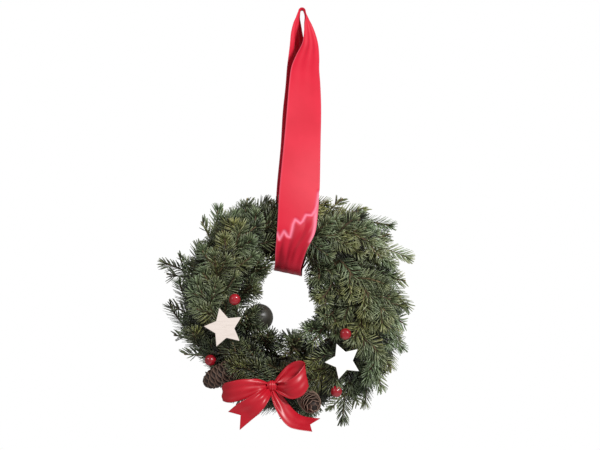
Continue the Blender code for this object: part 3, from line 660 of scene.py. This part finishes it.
def side_shoots(number, points, facing, shares, fixed, rods):
    shoots = []
    for order, (share, length) in enumerate(shares):
        root, ahead = polyline(points, share)
        side = ahead.cross(facing).normalized() * (1 if order % 2 else -1)
        for swing, lift in ((42, 0.1), (34, 0.1), (50, 0.1), (40, 0.35), (40, -0.2), (30, 0.5), (55, 0.4)):
            angle = math.radians(swing)
            heading = (ahead * math.cos(angle) + side * math.sin(angle) + facing * lift).normalized()
            bend = (heading + ahead * 0.35).normalized()
            end = root + (heading + bend) * length * 0.5
            others = rods.owner[:rods.count] != number
            room = rods.gaps(root, end, SHOOT_RADIUS)[others].min(initial=1.0)
            if room > CLEARANCE and fixed.clear_of(root, end, SHOOT_RADIUS + CLEARANCE):
                shoots.append([root, end])
                break
    for shoot in shoots:
        for start, end in zip(shoot, shoot[1:]):
            rods.add(start, end, SHOOT_RADIUS, number)
    return shoots


# Fir sprays

def keyed(keys, clock):
    clocks, values = zip(*keys)
    return float(np.interp(clock % 360, clocks, values))


def outline_room(place):
    """How far a place is inside the foliage's outline, outside its hole and in front of the wall"""
    flat = place - RING_CENTRE
    clock = math.degrees(math.atan2(flat.x, flat.z))
    reach = math.hypot(flat.x, flat.z)
    return keyed(RIM_KEYS, clock) * MM - reach, reach - keyed(HOLE_KEYS, clock) * MM, BACK_LIMIT - place.y


def extra_twigs(points, facing, longest, step, leans, fixed, draw):
    """Further side twigs, left and right in turn, shorter towards the spray's tip"""
    total = sum((after - before).length for before, after in zip(points, points[1:]))
    count = int(total * 0.90 / (step * MM))
    twigs = []
    for order in range(count):
        share = 0.04 + 0.88 * (order + draw.uniform(0.2, 0.8)) / count
        root, ahead = polyline(points, share)
        side = ahead.cross(facing).normalized() * (1 if order % 2 else -1)
        length = longest * MM * (1.0 - 0.55 * share) * draw.uniform(0.75, 1.15)
        for swing, lift in leans:
            angle = math.radians(swing + draw.uniform(-6, 6))
            lifted = facing * (lift + draw.uniform(-0.08, 0.15))
            heading = (ahead * math.cos(angle) + side * math.sin(angle) + lifted).normalized()
            middle = root + heading * length * 0.5
            end = middle + (heading + ahead * 0.45).normalized() * length * 0.5
            if min(outline_room(end)) < TWIG_ROOM:
                middle = root + heading * length * 0.3
                end = middle + (heading + ahead * 0.45).normalized() * length * 0.3
                if min(outline_room(end)) < TWIG_ROOM:
                    continue
            if fixed.clear_of(root + heading * 3 * MM, end, TWIG_THIN + 0.3 * MM):
                twigs.append([root, middle, end])
                break
    return twigs


def reaching_twigs(name, points):
    twigs = []
    for share, clock, reach, forward in REACHING.get(name, ()):
        root, ahead = polyline(points, share)
        end = wreath_point(clock, reach * MM, forward * MM)
        twigs.append([root, bezier(root, root.lerp(end, 0.5) + ahead * 6 * MM, end, 0.5), end])
    return twigs


def twig_needles(points, radius, facing, first_share, tip_room, fixed, draw):
    """Rows for add_needles along one twig: combs to both sides and a shorter row above them. They
    keep to the foliage's outline, or to their own twig's tip where that stands out of it"""
    spare = max(NEEDLE_ROOM, tip_room - outline_room(points[-1])[0])
    total = sum((after - before).length for before, after in zip(points, points[1:]))
    count = max(8, int(total * (1 - first_share) / NEEDLE_STEP))
    rows = []
    for order in range(count + TIP_NEEDLES):
        at_tip = order >= count
        share = 1.0 if at_tip else first_share + (1 - first_share) * (order + draw.uniform(0.3, 0.7)) / count
        root, ahead = polyline(points, share)
        up = (facing - ahead * facing.dot(ahead)).normalized()
        side = ahead.cross(up)
        hand = 1 if order % 2 else -1
        near_tip = max(0.0, (share - first_share) / (1 - first_share)) ** 2
        if at_tip:
            round_angle = 2 * math.pi * (order - count) / TIP_NEEDLES + draw.uniform(-0.2, 0.2)
            lean = math.radians(draw.uniform(14, 40))
            length = NEEDLE_LENGTH * draw.uniform(0.55, 0.75)
        elif order % 7 < 5:
            round_angle = hand * math.radians(draw.gauss(84, 5))
            lean = math.radians(draw.gauss(61 - 22 * near_tip, 3))
            length = NEEDLE_LENGTH * draw.uniform(0.90, 1.08) * (1 - 0.22 * near_tip)
        else:
            round_angle = hand * math.radians(draw.gauss(32, 14))
            lean = math.radians(draw.gauss(46 - 14 * near_tip, 6))
            length = NEEDLE_LENGTH * draw.uniform(0.55, 0.78) * (1 - 0.15 * near_tip)
        outward = up * math.cos(round_angle) + side * math.sin(round_angle)
        heading = ahead * math.cos(lean) + outward * math.sin(lean)
        bend = (up * 0.20 + ahead * 0.16) * draw.uniform(0.4, 1.3)
        flat = heading.cross(up * 0.8 + outward * 0.25 - ahead * 0.35)
        if flat.length < 1e-6:
            continue
        start = root + outward * radius * 0.6
        inside, off_hole, off_wall = outline_room(start + (heading + bend) * length)
        short = min(inside + (spare if share > 0.6 else NEEDLE_ROOM), off_hole, off_wall)
        if short < -0.45 * length:
            continue
        length += min(0.0, short)
        if fixed.lets_past(start, start + (heading + bend) * length):
            rows.append((start, heading, bend, flat.normalized(), length))
    return rows


def fir_spray(name, points, over, under, facing, tone, fixed, draw, materials):
    builder = Builder()
    columns = []
    shades = []
    bark_tone = 0.30 + 0.25 * draw.random()
    for order, twig in enumerate([points] + over + under):
        thick, thin = (STEM_RADIUS * 0.8, TWIG_THIN * 1.2) if order == 0 else (TWIG_THIN * 1.35, TWIG_THIN)
        radii = np.linspace(thick, thin, len(twig))
        add_rod(builder, twig, radii, 6, bark_tone + draw.uniform(-0.1, 0.1), 1)
        run = (twig[-1] - twig[-2]).normalized()
        bud = [twig[-1] + run * BUD_RADIUS * step for step in (-0.6, 0.2, 1.0, 1.7)]
        add_rod(builder, bud, [BUD_RADIUS * size for size in (0.5, 0.9, 0.75, 0.15)], 6, 0.75, 1)
        first, tip_room = (0.10, TIP_OVERHANG + 2 * MM) if order == 0 else (0.05, NEEDLE_ROOM)
        rows = twig_needles(twig, radii[0], facing, first, tip_room, fixed, draw)
        columns += rows
        # Needles on twigs under the spray get painted shade, those over it painted light
        base = tone + draw.gauss(0, 0.06) + (UNDER_PAINTED_SHADE if order > len(over) else OVER_PAINTED_LIGHT)
        shades += [base + draw.gauss(0, 0.10) for _ in rows]
    roots, headings, bends, flats, lengths = zip(*columns)
    widths = np.array([NEEDLE_WIDTH * draw.uniform(0.85, 1.1) for _ in columns])
    add_needles(builder, np.array(roots), np.array(headings), np.array(bends), np.array(flats),
                np.array(lengths), widths, np.array(shades), 0)
    return add_piece(name + "_fir", builder.mesh(name + "_fir", materials), "fir", name)


def fir_sprays(fixed):
    rods = Rods(1000)
    draw = random.Random(24)
    materials = [needle_material(), bark_material()]
    named = [(f"{row}_spray_{count:02d}", spray, facts) for row, facts in ROWS.items()
             for count, spray in enumerate(facts["sprays"], 1)]
    stems = [place_stem(number, spray, fixed, rods) for number, (_, spray, _) in enumerate(named)]
    shoots = [side_shoots(number, stems[number][0], frond_facing(turn_clock(*spray[:2]), spray[1]),
                          facts["shoots"], fixed, rods)
              for number, (_, spray, facts) in enumerate(named)]
    made = []
    for number, (name, spray, facts) in enumerate(named):
        fine = stems[number][1]
        facing = frond_facing(turn_clock(*spray[:2]), spray[1])
        over = shoots[number] + reaching_twigs(name, fine) + extra_twigs(
            fine, facing, facts["extra"], facts["step"], OVER_LEANS, fixed, draw)
        under = extra_twigs(fine, facing, facts["extra"], facts["under"], UNDER_LEANS, fixed, draw)
        # The spray's tone carries painted light and shade for its place round the wreath
        tone = keyed(PAINTED_LIGHT_KEYS, spray[2]) + draw.gauss(0, 0.03)
        made.append(fir_spray(name, fine, over, under, facing, tone, fixed, draw, materials))
    return made


# Ribbons

def loop_keys():
    """The hanging loop's stations: x, forward, z, width and turn, as in the part"""
    arch = LOOP_INNER_RADIUS + 0.4
    front = [
        (arch, 0, -2.7, 12, 90), (5.0, 0.3, -9, 14, 80), (6.4, 1.5, -17, 20, 66), (8.2, 3, -28, 27, 60),
        (9.0, 5.5, -41, 33, 56), (6.5, 8.5, -55, 38, 46), (3.8, 12, -70, 42, 40), (3.2, 17, -90, 44, 35),
        (2.4, 23, -120, 46, 31), (0.2, 30, -160, 47, 26), (-2.9, 40, -212, 48, 18), (-4.8, 45, -242, 46, 12),
        (-7.1, 48.5, -260, 43, 5), (-12.4, 49, -278, 35, 0), (-15.8, 44, -295, 30, 0),
        (-16.6, 33, -303, 31, 0), (-16.5, 12, -305.5, 32, 0), (-15.5, -8, -305, 32, 0),
    ]
    back = [
        (-14.5, -18.5, -297, 32, 0), (-11.5, -23.1, -275, 40, 0), (-8.5, -23.1, -248, 43, 4),
        (-6.8, -20.5, -212, 47, 10), (-2.8, -15.5, -160, 47, 20), (-2.0, -11, -120, 46, 28),
        (-1.1, -8, -90, 44, 35), (-1.3, -6, -70, 42, 40), (-2.0, -4.2, -55, 38, 46), (-3.8, -3, -41, 33, 56),
        (-4.9, -2, -28, 27, 60), (-4.9, -1, -17, 20, 66), (-4.3, -0.3, -9, 14, 80), (-arch, 0, -2.7, 12, 90),
    ]
    route = []
    for count, point in enumerate(smooth_route(front + back, 24)):
        if count % 4 == 0 or (point[1] > 0 and -point[2] > 205):
            route.append(tuple(point) + (-13 * float(soft_step(-point[2], 272, 300)),))
    top = [(-arch * math.cos(angle), 0, -2.7 + arch * math.sin(angle), 12, 90, 0)
           for angle in (math.pi * step / 8 for step in range(1, 8))]
    return route + top


def cloth_strip(name, stations, cut_width, folds, material, relief, marks=None, closed=False,
                notch=0.0, columns=24):
    """A ribbon across its stations in mm. Where it is gathered narrower than it was cut, it stands
    in folds; relief adds its wrinkles, and marks lays painted highlights along its creases and painted shade
    into its folds"""
    stations = np.array([tuple(station) for station in stations], float)
    middles = np.stack([stations[:, 0], -stations[:, 1], stations[:, 2]], axis=1)
    if closed:
        runs = unit(np.roll(middles, -1, axis=0) - np.roll(middles, 1, axis=0))
    else:
        runs = unit(np.gradient(middles, axis=0))
    yaw, pitch = np.radians(stations[:, 4]), np.radians(stations[:, 5])
    across = np.stack([np.cos(yaw) * np.cos(pitch), np.sin(yaw) * np.cos(pitch), np.sin(pitch)], axis=1)
    outward = unit(np.cross(across, runs))
    shares = np.linspace(-0.5, 0.5, columns + 1)
    widths = stations[:, 3]
    slack = np.sqrt(np.maximum(cut_width ** 2 - widths ** 2, 0)) / (2 * folds) * 0.55
    slack = np.minimum(slack, DEEPEST_FOLD) * soft_step(1 - widths / cut_width, 0.08, 0.40)
    if closed:
        slack = slack * (1 - 0.9 * soft_step(-stations[:, 2], 280, 300))
    wave = 0.5 - 0.5 * np.cos(2 * math.pi * folds * (shares + 0.5))
    along = np.linspace(0, 1, len(stations))
    rise = slack[:, None] * (wave[None, :] - 0.5)
    rise = rise + relief(shares[None, :], along[:, None], stations)
    places = (middles[:, None, :] + across[:, None, :] * (widths[:, None] * shares[None, :])[..., None]
              + outward[:, None, :] * rise[..., None])
    if notch:
        span = np.linalg.norm(middles[-1] - middles, axis=1)
        pull = notch * np.clip(1 - span / (3 * notch), 0, 1)[:, None] * (1 - 2 * np.abs(shares))[None, :]
        places = places - runs[:, None, :] * pull[..., None]
    rows, width_count = places.shape[0], columns + 1
    faces = []
    last = rows if closed else rows - 1
    for row in range(last):
        after = (row + 1) % rows
        for step in range(columns):
            faces.append((row * width_count + step, row * width_count + step + 1,
                          after * width_count + step + 1, after * width_count + step))
    mesh = bpy.data.meshes.new(name)
    mesh.from_pydata((places.reshape(-1, 3) * MM).tolist(), [], faces)
    mesh.polygons.foreach_set("use_smooth", [True] * len(faces))
    mesh.materials.append(material)
    if marks is not None:
        for title, values in zip(("pale", "satin_painted_shade"), marks(shares[None, :], stations)):
            mark = mesh.attributes.new(title, "FLOAT", "POINT")
            mark.data.foreach_set("value", np.clip(values, 0, 1).reshape(-1))
    steps = np.linalg.norm(np.diff(middles, axis=0), axis=1)
    lengths = np.concatenate([[0.0], np.cumsum(steps)]) * MM
    total = lengths[-1] + (np.linalg.norm(middles[0] - middles[-1]) * MM if closed else 0)
    uv = mesh.uv_layers.new(name="ribbon")
    for face_index, face in enumerate(faces):
        row, step = divmod(face_index, columns)
        ends = (lengths[row], total if row + 1 == rows else lengths[row + 1])
        corners = ((step, ends[0]), (step + 1, ends[0]), (step + 1, ends[1]), (step, ends[1]))
        for corner, (column, length) in enumerate(corners):
            uv.data[face_index * 4 + corner].uv = (column / columns * cut_width * MM, length)
    return mesh, total


def soft_step(value, start, end):
    share = np.clip((value - start) / (end - start), 0, 1)
    return share * share * (3 - 2 * share)


def line_distance(across, down, line):
    """How far each place on the front layer is from a line that is given as share and mm down"""
    places = np.stack(np.broadcast_arrays((across + 0.5) * CREASE_SPAN, down), axis=-1)
    points = np.array(line, float) * (CREASE_SPAN, 1.0)
    nearest = np.full(places.shape[:-1], 1e3)
    for start, end in zip(points, points[1:]):
        run = end - start
        share = np.clip(((places - start) @ run) / (run @ run), 0, 1)
        nearest = np.minimum(nearest, np.linalg.norm(places - start - share[..., None] * run, axis=-1))
    return nearest


def loop_creases(across, stations):
    """How strongly each place belongs to the crease or the edge band of the front layer"""
    down = -stations[:, 2][:, None]
    is_front = (stations[:, 1][:, None] > 0).astype(float)
    crease = np.exp(-(line_distance(across, down, CREASE) / 1.6) ** 2)
    band = np.exp(-(line_distance(across, down, EDGE_BAND) / 2.0) ** 2)
    return is_front * crease, is_front * band


def loop_relief(across, along, stations):
    """The loop's wrinkles: a jagged crease over the foliage, soft folds below it, slight waves above"""
    down = -stations[:, 2][:, None]
    is_front = (stations[:, 1][:, None] > 0).astype(float)
    crease, band = loop_creases(across, stations)
    start = np.interp(across + 0.5, *zip(*CREASE))
    folds = 1.2 * np.sin(across * 12 + 0.4) + 0.5 * np.sin(across * 25 + down / 9)
    below = soft_step(down - start, 2, 22) * (1 - soft_step(down, 282, 300)) * folds
    waves = 0.25 * np.sin(down / 24 + 3 * across) * soft_step(down, 60, 110)
    return 1.1 * crease + 0.9 * band + is_front * below + waves


def loop_marks(across, stations):
    """Painted highlights on the satin along its crease, its edge band and its woven edges, and painted shade
    below the crease and in its folds
    """
    down = -stations[:, 2][:, None]
    is_front = (stations[:, 1][:, None] > 0).astype(float)
    crease, band = loop_creases(across, stations)
    # A pale line along both woven edges: painted sheen
    edges = 0.30 * soft_step(np.abs(across), 0.466, 0.494)
    start = np.interp(across + 0.5, *zip(*CREASE))
    # Darker below the crease, where the ribbon turns down under the ring, and along two fold bands: painted
    # shade
    low = soft_step(down - start, 1, 40)
    fold = np.exp(-((across + 0.06) / 0.09) ** 2) * 0.35 + np.exp(-((across + 0.36) / 0.15) ** 2) * 0.5
    satin_painted_shade = is_front * (0.22 * soft_step(down - start, 0, 5) + low * (0.12 + fold))
    return np.maximum(np.maximum(crease, band) * 0.95, edges), satin_painted_shade


def bow_relief(across, along, stations):
    """Pinches that run out from the knot and fade"""
    pinch = np.exp(-along * 5) + np.exp(-(1 - along) * 5)
    return 0.9 * pinch * np.sin(across * 17 + 2.0) + 0.35 * np.sin(along * 14 + 5 * across)


def tail_relief(across, along, stations):
    return (0.9 * np.exp(-along * 3) * np.sin(across * 16 + 1.0)
            + 0.7 * along * np.sin(along * 9 + 3 * across))


def finish_cloth(item):
    thick = item.modifiers.new("thickness", "SOLIDIFY")
    thick.thickness = CLOTH_THICKNESS
    thick.offset = 0.0
    return item


def hanging_ribbon(satin):
    mesh, length = cloth_strip("hanging_loop_cloth", loop_keys(), BROAD_RIBBON, 3, satin,
                               loop_relief, loop_marks, closed=True, columns=40)
    item = finish_cloth(add_piece("hanging_loop_cloth", mesh, "satin", "hanging_ribbon"))
    return item


def bow_strips():
    """The bow's two loops and two tails, as in the part"""
    left_loop = [
        (-37, 50.5, -431, 7, 0, 90), (-49, 57.5, -431, 17, 0, 90), (-66, 62, -434, 22.5, 0, 88),
        (-79, 61, -436.5, 24, 0, 86), (-87.6, 55, -437.5, 20.5, 0, 86), (-89.0, 50, -437.5, 18, 0, 86),
        (-81, 44.5, -437, 21, 0, 86), (-66, 43, -434.5, 21, 0, 88), (-49, 45.5, -432, 14, 0, 90),
        (-37, 49, -431, 6, 0, 90),
    ]
    right_loop = [
        (-31, 51, -431, 7, 0, 96), (-23, 58, -433, 15, -6, 100), (-13.5, 62.5, -434, 21, -8, 104),
        (-3, 61.5, -429, 24, -8, 106), (3.7, 56, -421, 24.5, -6, 102), (4.4, 50.5, -417, 24.5, 0, 98),
        (-3, 45, -414.5, 23, 4, 96), (-13.5, 43.5, -417.5, 20, 4, 100), (-24, 46, -425, 13, 2, 104),
        (-31, 49.5, -430, 6, 0, 96),
    ]
    left_tail = [
        (-36, 52, -433.5, 7, 0, -40), (-43, 65.5, -440.5, 15, 0, -43), (-52.5, 69, -449.5, 21, 0, -48),
        (-65.2, 67, -459.0, 24, 0, -55), (-76, 65, -468.3, 24, 0, -57),
    ]
    right_tail = [
        (-33, 52, -434.5, 7, 35, 20), (-28, 57, -445, 14, 34, 38), (-20, 58.5, -457.4, 20, 50, 33),
        (-11.7, 57.5, -466.8, 23, 58, 36), (-2.5, 54, -471.8, 24, 62, 31),
        (16.0, 50, -475.0, 24, 65, 28),
    ]
    return ((left_loop, 0.0, bow_relief), (right_loop, 0.0, bow_relief),
            (left_tail, 10.0, tail_relief), (right_tail, 7.0, tail_relief))


def knot_mesh(satin):
    """The ribbon drawn round the bow's middle, in upright wrinkles"""
    rows, columns = 28, 20
    builder = Builder()
    places = []
    for row in range(rows):
        angle = 2 * math.pi * row / rows
        for step in range(columns + 1):
            share = step / columns - 0.5
            wrinkle = 0.35 * math.sin(share * 24 + 1.5 * math.sin(angle))
            bulge = 1.0 - 1.3 * share * share
            places.append((10.0 * share * (1 + 0.05 * math.sin(angle)),
                           -(5.4 * bulge + wrinkle) * math.sin(angle),
                           (6.2 * bulge + wrinkle) * math.cos(angle)))
    faces = [(row * (columns + 1) + step, row * (columns + 1) + step + 1,
              ((row + 1) % rows) * (columns + 1) + step + 1, ((row + 1) % rows) * (columns + 1) + step)
             for row in range(rows) for step in range(columns)]
    mesh = bpy.data.meshes.new("bow_knot")
    mesh.from_pydata([tuple(Vector(place) * MM + KNOT_PLACE) for place in places], [], faces)
    mesh.polygons.foreach_set("use_smooth", [True] * len(faces))
    mesh.materials.append(satin)
    uv = mesh.uv_layers.new(name="ribbon")
    for loop in mesh.loops:
        row, step = divmod(loop.vertex_index, columns + 1)
        uv.data[loop.index].uv = (step / columns * 0.025, row * 0.0015)
    return mesh


def bow(satin):
    shape = bmesh.new()
    meshes = [knot_mesh(satin)]
    for stations, notch, relief in bow_strips():
        mesh, length = cloth_strip("bow_part", smooth_route(stations, 8), BOW_RIBBON, 2, satin, relief,
                                   notch=notch, columns=20)
        meshes.append(mesh)
    for mesh in meshes:
        shape.from_mesh(mesh)
    joined = bpy.data.meshes.new("bow_cloth")
    shape.to_mesh(joined)
    shape.free()
    joined.materials.append(satin)
    item = finish_cloth(add_piece("bow_cloth", joined, "satin", "bow"))
    return item


# Ornaments

def star(name, clock, reach, forward, radius, turn, material):
    """A sawn star with its edges just broken"""
    shape = bmesh.new()
    outline = []
    for number in range(10):
        size = radius * MM * (STAR_INNER_SHARE if number % 2 else 1.0)
        angle = math.radians(36 * number + 90 + turn)
        outline.append(shape.verts.new((size * math.cos(angle), 0, size * math.sin(angle))))
    face = shape.faces.new(outline)
    made = bmesh.ops.extrude_face_region(shape, geom=[face])
    lifted = [item for item in made["geom"] if isinstance(item, bmesh.types.BMVert)]
    bmesh.ops.translate(shape, verts=lifted, vec=(0, STAR_THICKNESS, 0))
    bmesh.ops.recalc_face_normals(shape, faces=shape.faces)
    place = wreath_point(clock, reach * MM, forward * MM)
    bmesh.ops.translate(shape, verts=shape.verts, vec=place)
    mesh = bpy.data.meshes.new(name + "_wood")
    shape.to_mesh(mesh)
    shape.free()
    mesh.materials.append(material)
    item = add_piece(name + "_wood", mesh, "wood", name)
    edge = item.modifiers.new("edge", "BEVEL")
    edge.width = 0.45 * MM
    edge.segments = 3
    edge.harden_normals = False
    mesh.shade_smooth()
    mesh.set_sharp_from_angle(angle=math.radians(30))
    return item


def berry(name, clock, reach, forward, material):
    """A lacquered berry with a small dimple at its foot, on the wire of the part"""
    place = wreath_point(clock, reach * MM, forward * MM)
    low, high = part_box(name)
    seat = Vector(((low + high) / 2)) * 2 - place
    shape = bmesh.new()
    bmesh.ops.create_uvsphere(shape, u_segments=32, v_segments=20, radius=BERRY_RADIUS)
    for vertex in shape.verts:
        height = vertex.co.z / BERRY_RADIUS
        vertex.co.z -= 0.9 * MM * math.exp(-((1 - height) / 0.05)) if height > 0 else 0.0
    for face in shape.faces:
        face.smooth = True
    heading = (place - seat).normalized()
    turn = Vector((0, 0, 1)).rotation_difference(heading).to_matrix().to_4x4()
    bmesh.ops.transform(shape, verts=shape.verts, matrix=Matrix.Translation(place) @ turn)
    mesh = bpy.data.meshes.new(name + "_lacquer")
    shape.to_mesh(mesh)
    shape.free()
    mesh.materials.append(material)
    return add_piece(name + "_lacquer", mesh, "berry", name)


def ball(material):
    place = wreath_point(BALL_PLACE[0], BALL_PLACE[1] * MM, BALL_PLACE[2] * MM)
    shape = bmesh.new()
    bmesh.ops.create_uvsphere(shape, u_segments=48, v_segments=32, radius=BALL_RADIUS)
    for face in shape.faces:
        face.smooth = True
    bmesh.ops.translate(shape, verts=shape.verts, vec=place)
    mesh = bpy.data.meshes.new("ball_lacquer")
    shape.to_mesh(mesh)
    shape.free()
    mesh.materials.append(material)
    return add_piece("ball_lacquer", mesh, "ball", "ball")


def cone_swell(along):
    return math.sqrt(max(0.0, 1 - abs((along - 0.42) / 0.60) ** 2.6))


def cone_scale(row, step, length, radius):
    """One broad scale as a grid of places: it grows from the core and flares at its lip"""
    along = row / SCALE_ROWS
    middle = (step + 0.5 * (row % 2) + 0.12 * row) * 2 * math.pi / SCALES_AROUND
    reach = length / SCALE_ROWS * 2.1
    places = []
    for across, b in itertools.product(np.linspace(-1, 1, 7), np.linspace(0, 1, 6)):
        height = along * length + reach * (b * (1 - 0.34 * across ** 2) - 0.40)
        swell = cone_swell(min(1.0, max(0.0, height / length)))
        lip = 0.76 + 0.27 * b ** 1.6 - 0.06 * across ** 2 * b
        half = 1.18 * math.pi / SCALES_AROUND * (0.45 + 0.55 * math.sin(min(1.0, b * 1.3) * math.pi / 2))
        angle = middle + across * half
        size = radius * swell * lip
        places.append((size * math.cos(angle), size * math.sin(angle), min(height, length)))
    return places


def cone(name, base, tip, radius, material):
    """A closed cone: a slim core under rows of broad overlapping scales, set half a scale on"""
    start = wreath_point(base[0], base[1] * MM, base[2] * MM)
    end = wreath_point(tip[0], tip[1] * MM, tip[2] * MM)
    length = (end - start).length
    builder = Builder()
    shares = [step / 12 for step in range(13)]
    core = [(0, 0, length * share) for share in shares] + [(0, 0, length * 1.02)]
    widths = [radius * MM * (0.74 + 0.2 * share ** 2) * cone_swell(share) for share in shares] + [0.6 * MM]
    add_rod(builder, core, widths, 16, 0.1)
    faces = [(column * 6 + row, column * 6 + row + 1, (column + 1) * 6 + row + 1, (column + 1) * 6 + row)
             for column in range(6) for row in range(5)]
    draw = random.Random(name)
    for row, step in itertools.product(range(SCALE_ROWS), range(SCALES_AROUND)):
        shade = draw.uniform(-0.07, 0.07)
        # Each scale darker towards its root, where it tucks under the row above, and pale at its lip:
        # painted shade in the gaps between the rows
        tones = [0.20 + shade + 0.75 * b ** 4 for _ in range(7) for b in np.linspace(0, 1, 6)]
        builder.add(cone_scale(row, step, length, radius * MM), faces, np.array(tones))
    mesh = builder.mesh(name + "_scales", [material])
    turn = Vector((0, 0, 1)).rotation_difference((end - start).normalized()).to_matrix().to_4x4()
    mesh.transform(Matrix.Translation(start) @ turn)
    item = add_piece(name + "_scales", mesh, "cone", name)
    thick = item.modifiers.new("thickness", "SOLIDIFY")
    thick.thickness = 0.6 * MM
    thick.offset = -1.0
    return item


# Ring and wires

def straw_ring(material):
    """Stalks laid round the ring over a plain core"""
    draw = random.Random(5)
    builder = Builder()
    core = [wreath_point(step * 360 / 72, RING_RADIUS, 0) for step in range(73)]
    add_rod(builder, core, [RING_TUBE * 0.955] * 73, 24, 0.25)
    for stalk in range(230):
        clock = draw.uniform(0, 360)
        row = draw.uniform(0, 360)
        sweep = draw.uniform(28, 80)
        drift = draw.uniform(-26, 26)
        ride = RING_TUBE * draw.uniform(0.955, 0.985)
        points = [tube_point(clock + sweep * step / 14, row + drift * step / 14,
                             ride + 0.4 * MM * math.sin(step * 1.3 + stalk)) for step in range(15)]
        size = draw.uniform(0.55, 1.0) * MM
        add_rod(builder, points, [size] * 15, 5, draw.uniform(0.3, 0.75))
    mesh = builder.mesh("straw_ring_stalks", [material])
    return add_piece("straw_ring_stalks", mesh, "straw", "straw_ring")


def binding_wire(material):
    tight = RING_TUBE / math.cos(math.radians(22.5)) + 1.5 * GAP + WIRE_RADIUS
    turn = [(-60, WIRE_RIDE), (0, WIRE_RIDE), (60, WIRE_RIDE), (110, WIRE_RIDE),
            (150, tight), (195, tight), (240, tight), (273, tight)]
    keys = [tuple(tube_point(turn_clock(count, row), row, ride))
            for count in range(WIRE_TURNS) for row, ride in turn]
    builder = Builder()
    route = smooth_route(keys[:-1], 4)
    add_rod(builder, route, [WIRE_RADIUS] * len(route), 8, 0.5)
    mesh = builder.mesh("binding_wire_round", [material])
    return add_piece("binding_wire_round", mesh, "wire", "binding_wire")


def make_stage():
    floor_material, nodes, links = new_material("pale_floor")
    set_shader(nodes, Roughness=0.9)
    nodes["Principled BSDF"].inputs["Base Color"].default_value = (0.86, 0.86, 0.85, 1)
    bpy.ops.mesh.primitive_circle_add(vertices=96, radius=1.5, fill_type="NGON", location=(0, 0, -1.25))
    floor = bpy.context.object
    floor.name = "floor"
    floor.data.materials.append(floor_material)
    world = bpy.data.worlds.new("soft_white")
    world.use_nodes = True
    nodes, links = world.node_tree.nodes, world.node_tree.links
    seen = nodes["Background"]
    seen.inputs["Color"].default_value = (1.0, 1.0, 1.0, 1)
    light = nodes.new("ShaderNodeBackground")
    light.inputs["Color"].default_value = (1.0, 1.0, 1.0, 1)
    light.inputs["Strength"].default_value = SKY_LIGHT
    path = nodes.new("ShaderNodeLightPath")
    either = nodes.new("ShaderNodeMixShader")
    links.new(path.outputs["Is Camera Ray"], either.inputs["Fac"])
    links.new(light.outputs["Background"], either.inputs[1])
    links.new(seen.outputs["Background"], either.inputs[2])
    links.new(either.outputs["Shader"], nodes["World Output"].inputs["Surface"])
    bpy.context.scene.world = world
    bpy.context.scene.view_settings.view_transform = "Standard"
    lights = (("key", (1.1, -1.4, 0.65), 0.45, 37.0), ("fill", (-1.3, -1.2, 0.6), 0.4, 6.5))
    for name, place, size, power in lights:
        data = bpy.data.lights.new(name, "AREA")
        data.shape = "DISK"
        data.size = size
        data.energy = power
        item = bpy.data.objects.new(name, data)
        item.location = place
        item.rotation_euler = (Vector((0, 0, -0.3)) - Vector(place)).to_track_quat("-Z", "Y").to_euler()
        bpy.context.scene.collection.objects.link(item)


def make_camera():
    data = bpy.data.cameras.new("camera")
    data.lens = LENS
    data.sensor_width = SENSOR
    camera = bpy.data.objects.new("camera", data)
    camera.location = VIEW_CENTRE + Vector((0, -VIEW_WIDTH * LENS / SENSOR, 0))
    camera.rotation_euler = (math.pi / 2, 0, 0)
    bpy.context.scene.collection.objects.link(camera)
    bpy.context.scene.camera = camera


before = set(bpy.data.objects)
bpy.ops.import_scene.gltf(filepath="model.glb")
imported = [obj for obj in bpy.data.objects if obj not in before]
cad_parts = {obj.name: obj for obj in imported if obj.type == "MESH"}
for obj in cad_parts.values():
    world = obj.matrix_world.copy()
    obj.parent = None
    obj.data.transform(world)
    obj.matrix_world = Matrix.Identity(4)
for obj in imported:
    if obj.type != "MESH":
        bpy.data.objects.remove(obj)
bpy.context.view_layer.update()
make_camera()
make_stage()
others = [item for node, item in sorted(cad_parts.items())
          if "_spray_" not in node and node != "straw_ring"]
sprays = fir_sprays(Fixed(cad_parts["straw_ring"], others))
hanging_ribbon(satin_material("broad_satin", (0.60, 0.014, 0.036), (0.69, 0.020, 0.048), 0.48, 0.16))
bow(satin_material("bow_satin", (0.40, 0.006, 0.016), (0.56, 0.010, 0.024), 0.34, 0.45))
# Lit and shaded copies of one off-white wood: the left star darker and pinker as painted shade, the right
# star near white as painted light
star("star_left", material=wood_material("star_left_wood", (0.76, 0.66, 0.60), (0.83, 0.73, 0.67)),
     **STARS["star_left"])
star("star_right", material=wood_material("star_right_wood", (0.93, 0.91, 0.86), (0.98, 0.975, 0.955)),
     **STARS["star_right"])
lacquer = berry_material()
for name, place in BERRIES.items():
    berry(name, *place, lacquer)
ball(ball_material())
scales = cone_material()
for name, values in CONES.items():
    cone(name, material=scales, **values)
straw_ring(straw_material())
wire = wire_material()
binding_wire(wire)
for name in ("star_left_pick", "star_right_pick", "ball_pick", "cone_left_pick", "cone_right_pick",
             "bow_tie_wire"):
    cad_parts[name].data.materials.clear()
    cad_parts[name].data.materials.append(wire)
